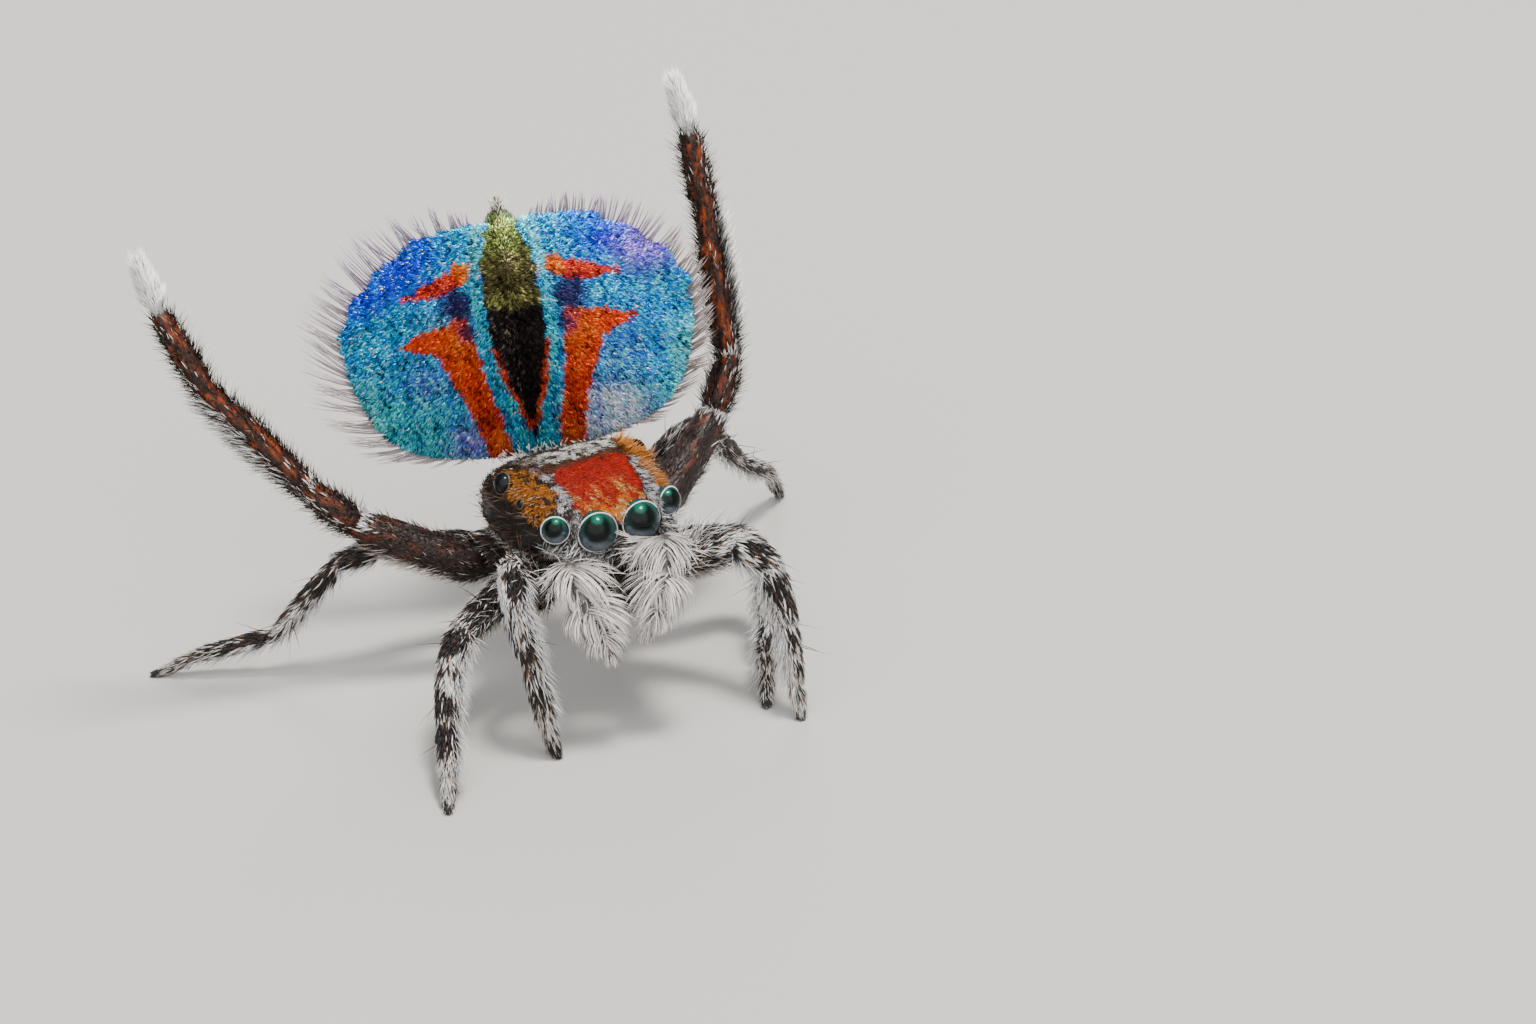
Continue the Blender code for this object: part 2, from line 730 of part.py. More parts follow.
def main():
    clear_scene()
    bpy.context.scene.collection.children.link(bpy.data.collections.new("peacock_spider"))
    stance = empty("stance", None, (0, 0, 0), Matrix.Identity(3))
    head = empty("head", stance, (0, 0, EYE_HEIGHT), head_rotation())
    fan = empty("fan", stance, FAN_BASE, fan_rotation())
    make_carapace(head)
    make_eyes(head)
    make_sternum(head)
    make_chelicerae(head)
    make_palps(head)
    make_pedicel(stance)
    make_abdomen(fan)
    make_flaps(fan)
    make_spinnerets(fan)
    make_legs(stance)
    centre_on_origin(stance)
    bpy.context.view_layer.update()


main()
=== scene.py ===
# A displaying peacock spider: skin, coat, fan scales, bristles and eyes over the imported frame
import math

import bpy
import numpy as np
from mathutils import Matrix, Vector


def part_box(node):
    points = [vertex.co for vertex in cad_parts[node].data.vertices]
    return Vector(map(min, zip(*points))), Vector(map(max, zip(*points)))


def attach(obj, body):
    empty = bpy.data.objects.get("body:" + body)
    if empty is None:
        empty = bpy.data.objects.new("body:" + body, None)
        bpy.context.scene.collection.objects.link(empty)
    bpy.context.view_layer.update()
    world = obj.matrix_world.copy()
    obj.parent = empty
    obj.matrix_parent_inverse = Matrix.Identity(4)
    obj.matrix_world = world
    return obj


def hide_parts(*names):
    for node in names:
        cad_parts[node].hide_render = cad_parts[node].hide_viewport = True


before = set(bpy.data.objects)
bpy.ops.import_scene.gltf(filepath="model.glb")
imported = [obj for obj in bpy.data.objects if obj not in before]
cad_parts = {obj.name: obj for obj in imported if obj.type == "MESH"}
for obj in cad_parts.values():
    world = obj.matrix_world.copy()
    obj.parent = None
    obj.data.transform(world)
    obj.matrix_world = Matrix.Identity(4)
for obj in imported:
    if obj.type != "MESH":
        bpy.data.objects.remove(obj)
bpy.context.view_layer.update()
mm = 0.001
up = np.array((0.0, 0.0, 1.0))


# Frames of the head and the fan, in millimetres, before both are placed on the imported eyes


def turned(degrees, axis):
    return np.array(Matrix.Rotation(math.radians(degrees), 3, axis))


eyeHeight = 1.9
headTurn = turned(-3, "Y")
fanTurn = turned(-20, "Z") @ turned(-10, "X") @ turned(-8, "Y")
fanBase = np.array((0.15, 2.25, 1.60))
plumeFace = np.array((-0.30, -0.87, 0.39))  # where the face and the fronts of the palps look
eyes = {
    "anterior_median": {"radius": 0.200, "place": (0.225, 0.070, 0.000), "facing": (0.06, -1.0, 0.08)},
    "anterior_lateral": {"radius": 0.137, "place": (0.585, 0.215, 0.045), "facing": (0.45, -1.0, 0.10)},
    "posterior_median": {"radius": 0.045, "place": (0.705, 0.740, 0.100), "facing": (0.85, -0.15, 0.45)},
    "posterior_lateral": {"radius": 0.105, "place": (0.690, 1.170, 0.120), "facing": (0.85, -0.15, 0.45)},
}


def headToStance(points):
    return np.asarray(points, float) @ headTurn.T + up * eyeHeight


def fanToStance(points):
    return np.asarray(points, float) @ fanTurn.T + fanBase


packedEye = np.array(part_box("eye_anterior_median_left"))
shift = packedEye.mean(axis=0) / mm - headToStance(eyes["anterior_median"]["place"])


# Curves, noise and colour


def columns(*parts):
    # Points or ways from their parts. A part may be one number for all
    return np.stack(np.broadcast_arrays(*parts), axis=-1)


def unit(vectors):
    return vectors / np.maximum(np.linalg.norm(vectors, axis=-1, keepdims=True), 1e-9)


def resampled(rows, count):
    # A smooth curve through the rows, read at count even steps
    rows = np.array(rows, float)
    padded = np.vstack([2 * rows[0] - rows[1], rows, 2 * rows[-1] - rows[-2]])
    at = np.linspace(0, len(rows) - 1, count)
    i = np.minimum(at.astype(int), len(rows) - 2)
    t = (at - i)[:, None]
    a, b, c, d = padded[i], padded[i + 1], padded[i + 2], padded[i + 3]
    square = 2 * a - 5 * b + 4 * c - d
    cube = 3 * b - a - 3 * c + d
    return 0.5 * (2 * b + (c - a) * t + square * t**2 + cube * t**3)


def ripple(points, size, seed):
    # Smooth noise near -1 to 1 whose patches are about size across
    chance = np.random.default_rng(seed)
    points = np.asarray(points, float)
    total = np.zeros(len(points))
    for octave in range(3):
        way = chance.normal(size=(5, points.shape[1])) * 2**octave * 2.2 / size
        phase = chance.uniform(0, 2 * math.pi, 5)
        total += np.sin(points @ way.T + phase).sum(axis=1) * 0.55**octave / 2.6
    return total


def ramp(value, low, high):
    share = np.clip((value - low) / (high - low), 0, 1)
    return share * share * (3 - 2 * share)


def window(value, start, full, fading, end):
    # Rises from start to full, and falls from fading to end
    return ramp(value, start, full) * (1 - ramp(value, fading, end))


def hump(value, centre, size):
    return np.exp(-(((value - centre) / size) ** 2))


def plain(count, colour):
    return np.full((count, 3), colour, float)


def mixed(colours, colour, mask):
    mask = np.clip(mask, 0, 1)[:, None]
    return colours * (1 - mask) + np.asarray(colour, float) * mask


def layered(colours, paint, **masks):
    # Colours of a paint, each laid through its mask over those before it
    for name, mask in masks.items():
        colours = mixed(colours, paint[name], mask)
    return colours


def varied(colours, chance, amount):
    return np.clip(colours * chance.uniform(1 - amount, 1 + amount, (len(colours), 1)), 0, 1)


# Mesh building from arrays. A surface that is alone in its piece has the whole map

wholeMap = (0.02, 0.02, 0.98, 0.98)


def meshObject(name, points, triangles, colours, uvs, surface):
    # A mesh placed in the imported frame, with its colours on the points and the map OFBake
    mesh = bpy.data.meshes.new(name)
    placed = ((points + shift) * mm).astype(np.float32)
    triangles = np.asarray(triangles, np.int32)
    mesh.vertices.add(len(placed))
    mesh.vertices.foreach_set("co", placed.ravel())
    mesh.loops.add(triangles.size)
    mesh.loops.foreach_set("vertex_index", triangles.ravel())
    mesh.polygons.add(len(triangles))
    mesh.polygons.foreach_set("loop_start", np.arange(0, triangles.size, 3, dtype=np.int32))
    mesh.update(calc_edges=True)
    mesh.validate()
    opaque = np.hstack([colours, np.ones((len(colours), 1))]).astype(np.float32)
    tint = mesh.attributes.new("tint", "FLOAT_COLOR", "POINT")
    tint.data.foreach_set("color", opaque.ravel())
    layer = mesh.uv_layers.new(name="OFBake")
    layer.data.foreach_set("uv", uvs[triangles.ravel()].astype(np.float32).ravel())
    mesh.shade_smooth()
    mesh.materials.append(surface)
    obj = bpy.data.objects.new(name, mesh)
    bpy.context.scene.collection.objects.link(obj)
    return obj


def gridOf(points, local, patch, paint=None):
    # A surface with rings of points in rows, closed round, and its patch of the map
    rows, sides = points.shape[:2]
    u, v = np.meshgrid(np.linspace(0, 1, sides + 1)[:-1], np.linspace(0, 1, rows))
    uvs = columns(patch[0] + u * (patch[2] - patch[0]), patch[1] + v * (patch[3] - patch[1]))
    return {"points": points, "local": local, "uvs": uvs, "zipped": False, "paint": paint}


def zipTriangles(start, sides):
    # A cap that joins the two halves of a flat ring, point to point
    i = np.arange(sides // 2 - 1)
    back = sides - 1 - i
    return np.vstack([columns(i, i + 1, back), columns(i + 1, back - 1, back)]) + start


def gridTriangles(rows, sides, zipped):
    ring = np.arange(sides)
    after = (ring + 1) % sides
    base = (np.arange(rows - 1) * sides)[:, None]
    a, b, c, d = base + ring, base + after, base + sides + after, base + sides + ring
    walls = columns(a, b, c, a, c, d).reshape(-1, 3)
    last = (rows - 1) * sides
    if zipped:
        return np.vstack([walls, zipTriangles(0, sides)[:, ::-1], zipTriangles(last, sides)])
    ends = [(0, i + 1, i) for i in range(1, sides - 1)]
    ends += [(last, last + i, last + i + 1) for i in range(1, sides - 1)]
    return np.vstack([walls, ends])


def joinedGrids(name, grids, surface):
    # One skin from several closed grids, each painted by its own rule
    points, triangles, colours, uvs, start = [], [], [], [], 0
    for grid in grids:
        rows, sides = grid["points"].shape[:2]
        made = gridTriangles(rows, sides, grid["zipped"])
        flat = grid["points"].reshape(-1, 3)
        corners = flat[made]
        cross = np.cross(corners[:, 1] - corners[:, 0], corners[:, 2] - corners[:, 0])
        if ((corners.mean(axis=1) - flat.mean(axis=0)) * cross).sum() < 0:
            made = made[:, ::-1]
        points.append(flat)
        triangles.append(made + start)
        colours.append(grid["paint"](grid, grid["local"].reshape(-1, grid["local"].shape[-1])))
        uvs.append(grid["uvs"].reshape(-1, 2))
        start += len(flat)
    stacked = [np.vstack(part) for part in (points, triangles, colours, uvs)]
    return meshObject(name, *stacked, surface)


def scattered(grid, count, chance, weight=None):
    # Random places on a grid, even over its area times the weight of each of its cells
    points, local, uvs = grid["points"], grid["local"], grid["uvs"]
    along = points[1:] - points[:-1]
    around = (np.roll(points, -1, axis=1) - points)[:-1]
    area = np.linalg.norm(np.cross(along, around), axis=-1)
    if callable(weight):
        weight = weight(((local[1:] + local[:-1]) / 2).reshape(-1, local.shape[-1]))
    if weight is not None:
        area = area * weight.reshape(area.shape)
    share = np.cumsum(area.ravel())
    pick = np.searchsorted(share, chance.uniform(0, share[-1], count))
    row, side = np.unravel_index(np.minimum(pick, area.size - 1), area.shape)
    after = (side + 1) % points.shape[1]
    s, t = chance.uniform(size=(2, count, 1))

    def between(values):
        near = values[row, side] * (1 - t) + values[row, after] * t
        far = values[row + 1, side] * (1 - t) + values[row + 1, after] * t
        return near * (1 - s) + far * s

    lengthwise = unit(along[row, side] * (1 - t) + along[row, after] * t)
    normal = unit(np.cross(unit(around[row, side]), lengthwise))
    place = between(points)
    outward = np.sign(((place - points[row].mean(axis=1)) * normal).sum(axis=1, keepdims=True))
    outward[outward == 0] = 1
    return {
        "root": place,
        "local": between(local),
        "uv": uvs[row, side],
        "normal": normal * outward,
        "along": lengthwise,
    }


def kept(places, mask):
    return {key: value[mask] for key, value in places.items()}


def strands(name, parts, surface, rows=2, flat=1.0):
    # Closed tapered strands. A part holds their roots, ways, curls, lengths, widths, colours and tips
    def whole(key):
        return np.concatenate([part[key] for part in parts])

    root, curl, length, width = whole("root"), whole("curl"), whole("length"), whole("width")
    colour, tip, uv = whole("colour"), whole("tip"), whole("uv")
    way = unit(whole("way"))
    side = unit(np.cross(way, whole("normal")))
    outward = unit(np.cross(side, way))
    count, each = len(root), rows * 3 + 1
    points, shades, patch = np.zeros((count, each, 3)), np.zeros((count, each, 3)), np.zeros((count, each, 2))
    for row in range(rows):
        share = row / rows
        centre = root + way * (length * share)[:, None] + curl * (length * share**2)[:, None]
        thick = (width * (1 - share) ** 0.55 / 2)[:, None]
        for corner, turn in enumerate((0.5, 2.594, 4.689)):
            across = side * math.cos(turn) + outward * math.sin(turn) * flat
            points[:, row * 3 + corner] = centre + across * thick
            patch[:, row * 3 + corner] = (0.001 * (corner - 1), 0.0026 * (share - 0.5))
        shades[:, row * 3 : row * 3 + 3] = (colour * (1 - share) + tip * share)[:, None]
    points[:, -1] = root + way * length[:, None] + curl * length[:, None]
    points[..., 2] = np.maximum(points[..., 2], 0.004 - shift[2])
    shades[:, -1] = tip
    patch[:, -1] = (0, 0.0013)
    uvs = patch + uv[:, None]
    made = [(0, 2, 1)]
    for low in range(0, rows * 3 - 3, 3):
        for a, b in ((0, 1), (1, 2), (2, 0)):
            made += [(low + a, low + b, low + 3 + b), (low + a, low + 3 + b, low + 3 + a)]
    top = rows * 3 - 3
    made += [(top, top + 1, each - 1), (top + 1, top + 2, each - 1), (top + 2, top, each - 1)]
    triangles = (np.array(made)[None] + (np.arange(count) * each)[:, None, None]).reshape(-1, 3)
    print(name, len(triangles), "triangles")
    points, shades, uvs = points.reshape(-1, 3), shades.reshape(-1, 3), uvs.reshape(-1, 2)
    return meshObject(name, points, triangles, shades, uvs, surface)


def strandPart(root, way, curl, length, width, colour, tip, uv, normal):
    return {
        "root": root,
        "way": way,
        "curl": curl,
        "length": length,
        "width": width,
        "colour": colour,
        "tip": tip,
        "uv": uv,
        "normal": normal,
    }


def hair(places, length, width, colour, chance, lean=20, curl=0.0, way=None, tip=None, spread=0.25):
    # Strands for places: lean is their angle off the skin in degrees, and curl bends them back to it
    count = len(places["root"])
    normal = places["normal"]
    way = places["along"] if way is None else way
    way = unit(way - normal * (way * normal).sum(axis=1, keepdims=True))
    way = unit(way + np.cross(normal, way) * chance.normal(0, spread, (count, 1)))
    angle = np.radians(lean * chance.uniform(0.7, 1.3, count))[:, None]
    leaning = way * np.cos(angle) + normal * np.sin(angle)
    length = length * chance.uniform(0.75, 1.2, count)
    width = width * chance.uniform(0.8, 1.2, count)
    tip = colour * 1.15 if tip is None else tip
    root = places["root"] - normal * 0.006
    return strandPart(root, leaning, (way - normal) * curl, length, width, colour, tip, places["uv"], normal)


# Materials: a painted colour on the points with fine grain over it


def newMaterial(name, settings):
    made = bpy.data.materials.new(name)
    made.use_nodes = True
    nodes, links = made.node_tree.nodes, made.node_tree.links
    nodes.clear()
    shader = newNode(nodes, "ShaderNodeBsdfPrincipled", settings)
    links.new(shader.outputs["BSDF"], nodes.new("ShaderNodeOutputMaterial").inputs["Surface"])
    return made, nodes, links, shader


def newNode(nodes, kind, settings=None, operation=None):
    made = nodes.new(kind)
    if operation:
        made.operation = operation
    for key, value in (settings or {}).items():
        made.inputs[key].default_value = value
    return made


def grainGroup():
    # Fine light and dark grain over a colour, and a bump to go with it
    group = bpy.data.node_groups.new("grain", "ShaderNodeTree")
    group.interface.new_socket(name="Colour", in_out="INPUT", socket_type="NodeSocketColor")
    for name in ("Scale", "Amount", "Bump"):
        group.interface.new_socket(name=name, in_out="INPUT", socket_type="NodeSocketFloat")
    group.interface.new_socket(name="Colour", in_out="OUTPUT", socket_type="NodeSocketColor")
    group.interface.new_socket(name="Normal", in_out="OUTPUT", socket_type="NodeSocketVector")
    nodes = group.nodes
    source, sink = nodes.new("NodeGroupInput"), nodes.new("NodeGroupOutput")
    place = nodes.new("ShaderNodeTexCoord")
    noise = newNode(nodes, "ShaderNodeTexNoise", {"Detail": 3})
    centred = newNode(nodes, "ShaderNodeMath", {1: 0.5}, "SUBTRACT")
    strength = newNode(nodes, "ShaderNodeMath", {2: 1.0}, "MULTIPLY_ADD")
    shade = newNode(nodes, "ShaderNodeVectorMath", None, "SCALE")
    bump = newNode(nodes, "ShaderNodeBump", {"Distance": 0.000025})
    for start, end in (
        (place.outputs["Object"], noise.inputs["Vector"]),
        (source.outputs["Scale"], noise.inputs["Scale"]),
        (noise.outputs["Fac"], centred.inputs[0]),
        (centred.outputs[0], strength.inputs[0]),
        (source.outputs["Amount"], strength.inputs[1]),
        (source.outputs["Colour"], shade.inputs[0]),
        (strength.outputs[0], shade.inputs["Scale"]),
        (shade.outputs[0], sink.inputs["Colour"]),
        (source.outputs["Bump"], bump.inputs["Strength"]),
        (noise.outputs["Fac"], bump.inputs["Height"]),
        (bump.outputs["Normal"], sink.inputs["Normal"]),
    ):
        group.links.new(start, end)
    return group


def tintedMaterial(name, settings, grainSettings=None):
    made, nodes, links, shader = newMaterial(name, settings)
    tint = nodes.new("ShaderNodeAttribute")
    tint.attribute_name = "tint"
    if grainSettings is None:
        links.new(tint.outputs["Color"], shader.inputs["Base Color"])
        return made
    effect = nodes.new("ShaderNodeGroup")
    effect.node_tree = grain
    for key, value in grainSettings.items():
        effect.inputs[key].default_value = value
    links.new(tint.outputs["Color"], effect.inputs["Colour"])
    links.new(effect.outputs["Colour"], shader.inputs["Base Color"])
    links.new(effect.outputs["Normal"], shader.inputs["Normal"])
    return made


grain = grainGroup()
skinMaterial = tintedMaterial(
    "cuticle",
    {"Roughness": 0.42, "Specular IOR Level": 0.24, "Coat Weight": 0.05, "Coat Roughness": 0.2},
    {"Scale": 26000, "Amount": 0.9, "Bump": 0.7},
)
hairMaterial = tintedMaterial(
    "hair", {"Roughness": 0.42, "Specular IOR Level": 0.35}, {"Scale": 30000, "Amount": 0.35, "Bump": 0.0}
)
plumeMaterial = tintedMaterial(
    "plume", {"Roughness": 0.30, "Specular IOR Level": 0.65}, {"Scale": 30000, "Amount": 0.3, "Bump": 0.0}
)
scaleMaterial = tintedMaterial(
    "fanScale",
    {"Roughness": 0.32, "Metallic": 0.5, "Specular IOR Level": 0.12},
    {"Scale": 40000, "Amount": 0.5, "Bump": 0.0},
)
lensMaterial = tintedMaterial("lens", {"Roughness": 0.035, "Specular IOR Level": 0.14})


# Eyes: each lens is the imported ball with a finer one over it, painted with a reflection on its lower half
# and a green glow and glint near its top, and a dark joint shows below each side

lens = {
    "swell": 1.002,
    "rows": 48,
    "sides": 64,
    "ground": (0.014, 0.034, 0.036),
    # painted reflection of the ground on the lower half of each lens
    "lower": (0.105, 0.118, 0.142),
    # painted green glow at the top of each lens
    "crown": (0.005, 0.060, 0.040),
    "pupil": (0.001, 0.003, 0.002),
    # painted green glint round the key light's highlight, and the way from the lens to that highlight
    "glow": (0.008, 0.115, 0.070),
    "glowWay": (-0.10, -0.46, 0.88),
    "rear": (0.003, 0.003, 0.004),
}
hipJoint = {"place": (0.66, 0.33, -0.42), "radius": 0.082, "colour": (0.012, 0.013, 0.013)}


def eyePlaces():
    for name, eye in eyes.items():
        for side, sign in (("left", 1), ("right", -1)):
            mirror = np.array((sign, 1, 1))
            yield name, side, eye["radius"], mirror * eye["place"], unit(mirror * eye["facing"])


def ballGrid(place, radius, rows, sides, hole, paint):
    polar = np.linspace(hole, math.pi - hole, rows)[:, None]
    turn = np.linspace(0, 2 * math.pi, sides, endpoint=False)[None]
    ball = columns(np.sin(polar) * np.cos(turn), np.sin(polar) * np.sin(turn), np.cos(polar))
    return gridOf(headToStance(place + ball * radius), ball, wholeMap, paint)


def lensColours(grid, local):
    facing = grid["facing"]
    pupil = local @ unit(facing + (-0.20, 0, 0.56))
    crown = local @ unit(facing * 0.62 + up)
    glow = local @ unit(np.array(lens["glowWay"]))
    # Dark ground, a painted reflection below, a painted green glow on top, the dark pupil and a painted glint
    # at the highlight
    return layered(
        plain(len(local), lens["ground"]),
        lens,
        lower=ramp(-local[:, 2] + 0.22 * ripple(local, 0.35, 9), -0.10, 0.62),
        crown=ramp(crown, 0.60, 0.99),
        pupil=ramp(pupil, 0.62, 0.86),
        glow=ramp(glow, 0.93, 0.998) * 0.8,
        rear=np.full(len(local), 0.9 if grid["rear"] else 0.0),
    )


def makeLenses():
    for name, side, radius, place, facing in eyePlaces():
        grid = ballGrid(place, radius * lens["swell"], lens["rows"], lens["sides"], 0.02, lensColours)
        grid["facing"], grid["rear"] = facing, "posterior" in name
        made = joinedGrids(f"lens_{name}_{side}", [grid], lensMaterial)
        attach(made, "root")
        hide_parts(f"eye_{name}_{side}")


def makeHipJoints():
    def jointColours(_, local):
        return plain(len(local), hipJoint["colour"])

    places = [np.array((sign, 1, 1)) * hipJoint["place"] for sign in (1, -1)]
    grids = [ballGrid(place, hipJoint["radius"], 20, 28, 0.05, jointColours) for place in places]
    joints = joinedGrids("hipJoints", grids, lensMaterial)
    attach(joints, "root")


makeLenses()
makeHipJoints()
print("eyes made")


# Head: rows from front to back with half width, top and bottom

carapaceRows = (
    (-0.02, 0.34, 0.09, -0.20),
    (0.03, 0.50, 0.17, -0.31),
    (0.20, 0.63, 0.23, -0.37),
    (0.55, 0.75, 0.26, -0.47),
    (0.95, 0.82, 0.27, -0.61),
    (1.30, 0.85, 0.25, -0.64),
    (1.60, 0.79, 0.13, -0.63),
    (1.85, 0.61, -0.06, -0.60),
    (2.05, 0.34, -0.22, -0.52),
    (2.12, 0.14, -0.30, -0.44),
)
sternumRows = (
    (0.52, 0.12, -0.70, -0.78),
    (0.65, 0.25, -0.68, -0.86),
    (1.00, 0.41, -0.68, -0.93),
    (1.50, 0.41, -0.68, -0.93),
    (1.85, 0.25, -0.68, -0.88),
    (1.96, 0.12, -0.69, -0.80),
)
headPaint = {
    "ground": (0.008, 0.0045, 0.003),
    "flank": (0.042, 0.021, 0.009),
    "orange": (0.38, 0.120, 0.006),
    "bandShade": (0.030, 0.022, 0.020),
    "band": (0.56, 0.55, 0.58),
    "red": (0.33, 0.010, 0.001),
    "front": (0.74, 0.20, 0.006),
    "gold": (0.66, 0.21, 0.012),
    "paleGold": (0.60, 0.42, 0.28),
    "rear": (0.11, 0.045, 0.016),
    "line": (0.72, 0.68, 0.63),
    "faceShade": (0.022, 0.017, 0.015),
    "face": (0.26, 0.245, 0.24),
    "betweenEyes": (0.16, 0.15, 0.15),
    "hem": (0.22, 0.20, 0.19),
}


def superRing(halfWidth, low, high, sides, power):
    turn = np.linspace(0, 2 * math.pi, sides, endpoint=False)
    cos, sin = np.cos(turn), np.sin(turn)
    across = halfWidth * np.sign(cos) * np.abs(cos) ** (2 / power)
    return across, (low + high) / 2 + (high - low) / 2 * np.sign(sin) * np.abs(sin) ** (2 / power)


def bodyLoft(rows, count, sides, power, inset, patch, paint):
    rings = []
    for place, halfWidth, high, low in resampled(rows, count):
        width = max(halfWidth - inset, 0.02)
        across, height = superRing(width, low + inset * 0.8, high - inset * 0.8, sides, power)
        rings.append(columns(across, place, height))
    local = np.array(rings)
    return gridOf(headToStance(local), local, patch, paint)


def headColours(local):
    x, y, z = local.T
    edge = ripple(local * (1, 0.6, 1), 0.12, 3) * 0.03
    streak = ripple(local * (1, 0.35, 1), 0.045, 5)
    fine = ripple(local * (1, 0.5, 1), 0.02, 6)
    run = ripple(columns(x + 0.12 * y, y * 0.14), 0.055, 15)
    out = np.abs(x - 0.10 * ramp(y, 0.15, 1.1)) + edge
    rightward = np.maximum(-x, 0)
    orange = ramp(z + edge, 0.02, 0.10) * ramp(out, 0.44, 0.50) * window(y, 0.12, 0.2, 1.20, 1.36)
    orange = orange * (1 - ramp(np.abs(x) + edge, 0.71, 0.77))
    # Pale bands beside the red patch, a little wider on the animal's left
    lean = 0.365 + 0.035 * y
    widened = lean + 0.055 * ramp(x, 0.0, 0.2)
    band = window(out, lean - 0.012, lean + 0.012, widened + 0.075, widened + 0.11)
    band = band * (1 - ramp(y, 1.16, 1.30)) * ramp(z, 0.0, 0.06)
    red = (1 - ramp(out, lean - 0.035, lean)) * (1 - ramp(y + edge + 0.30 * rightward, 1.00, 1.12))
    red = red * ramp(z, 0.02, 0.10)
    gold = red * ramp(run, 0.25, 0.65) * (1 - ramp(y, 0.40, 0.72)) * (1 - ramp(np.abs(x - 0.03), 0.25, 0.38))
    rear = ramp(y + 0.3 * rightward, 1.02, 1.12) * (1 - ramp(y, 1.20, 1.27)) * (1 - ramp(out, 0.46, 0.54))
    rear = rear * ramp(z, 0.02, 0.10)
    # The pale line across the rear of the head
    start = 1.20 - 0.07 * window(x, -0.42, -0.12, 0.30, 0.50)
    line = window(y + edge, start, start + 0.05, 1.40, 1.47) * (1 - ramp(out, 0.50, 0.60))
    line = line * ramp(z, 0.0, 0.08) * (0.30 + 0.70 * ramp(x, -0.42, -0.16))
    face = (1 - ramp(z, -0.10, 0.02)) * (1 - ramp(y, 0.22, 0.36)) * (1 - ramp(np.abs(x), 0.62, 0.74))
    between = (1 - ramp(y, 0.08, 0.16)) * (1 - ramp(z, 0.08, 0.16)) * (1 - face)
    hem = (1 - ramp(z + 0.08 * ramp(y, 0.4, 1.0), -0.58, -0.52)) * ramp(y, 0.3, 0.5)
    return layered(
        plain(len(x), headPaint["ground"]),
        headPaint,
        flank=ramp(z, -0.25, 0.06) * ramp(fine, -0.6, 0.6) * 0.8,
        orange=orange * ramp(streak + 0.4 * fine, -0.4, 0.15),
        bandShade=band,
        band=band * ramp(streak + fine, -0.35, 0.05),
        red=red,
        front=(1 - ramp(y + 0.08 * streak, 0.08, 0.24)) * red,
        gold=gold * 0.85,
        paleGold=gold * ramp(fine, 0.2, 0.7) * 0.7,
        rear=rear * ramp(fine, -0.8, 0.2),
        line=line * ramp(streak + fine, -0.5, 0.0),
        faceShade=face,
        face=face * ramp(streak + fine, 0.5, 1.0),
        betweenEyes=between * ramp(fine, -0.3, 0.5),
        hem=hem * 0.8,
    )


def headSkinColours(_, local):
    return headColours(local) * (0.90 - 0.55 * ramp(local[:, 2:3], -0.12, 0.0))


def darkColours(_, local):
    fine = ripple(local[:, -3:], 0.1, 43)
    return mixed(plain(len(local), (0.035, 0.024, 0.018)), (0.10, 0.065, 0.04), ramp(fine, 0, 0.8))


def sinkRoundEyes(head):
    # The skin falls back round each eye, so that the lens stands out of it
    for _, _, radius, place, facing in eyePlaces():
        away = head["local"] - place
        ahead = away @ facing
        spread = np.linalg.norm(away - ahead[..., None] * facing, axis=-1)
        outside, inside = np.maximum(spread - 1.06 * radius, 0), np.maximum(radius - spread, 0)
        limit = 0.16 * radius + 1.1 * outside - 0.4 * inside
        excess = np.where(spread < 1.6 * radius, np.maximum(ahead - limit, 0), 0)
        head["local"] = head["local"] - excess[..., None] * facing
    head["points"] = headToStance(head["local"])


def nearEyes(local, margin):
    # True where a place is inside an eye's ball and its rim
    inside = np.zeros(len(local), bool)
    for _, _, radius, place, _ in eyePlaces():
        inside |= np.linalg.norm(local - place, axis=1) < radius + margin
    return inside


carapace = bodyLoft(carapaceRows, 150, 180, 3.2, 0.04, (0.02, 0.02, 0.98, 0.55), headSkinColours)
sternum = bodyLoft(sternumRows, 30, 40, 2.6, 0.02, (0.02, 0.58, 0.48, 0.78), darkColours)
sinkRoundEyes(carapace)


# Palps, chelicerae and pedicel: rows of a place on the head and a radius

palpRows = {
    "right": (
        (-0.36, 0.20, -0.52, 0.09),
        (-0.50, 0.02, -0.44, 0.12),
        (-0.62, -0.18, -0.26, 0.15),
        (-0.60, -0.36, -0.44, 0.25),
        (-0.48, -0.45, -0.72, 0.30),
        (-0.40, -0.47, -0.98, 0.23),
        (-0.38, -0.45, -1.13, 0.09),
    ),
    "left": (
        (0.38, 0.20, -0.54, 0.09),
        (0.42, 0.00, -0.44, 0.12),
        (0.35, -0.22, -0.20, 0.15),
        (0.27, -0.40, -0.36, 0.25),
        (0.16, -0.47, -0.60, 0.29),
        (0.05, -0.44, -0.86, 0.22),
        (0.01, -0.40, -1.02, 0.09),
    ),
}
palpKnobs = (0.37, 0.565, 0.735)  # shares of the palp's length, one below each tier of plumes
cheliceraRows = (
    (0.130, 0.10, -0.42, 0.110),
    (0.130, 0.06, -0.56, 0.140),
    (0.128, 0.05, -0.74, 0.132),
    (0.120, 0.08, -0.92, 0.080),
)


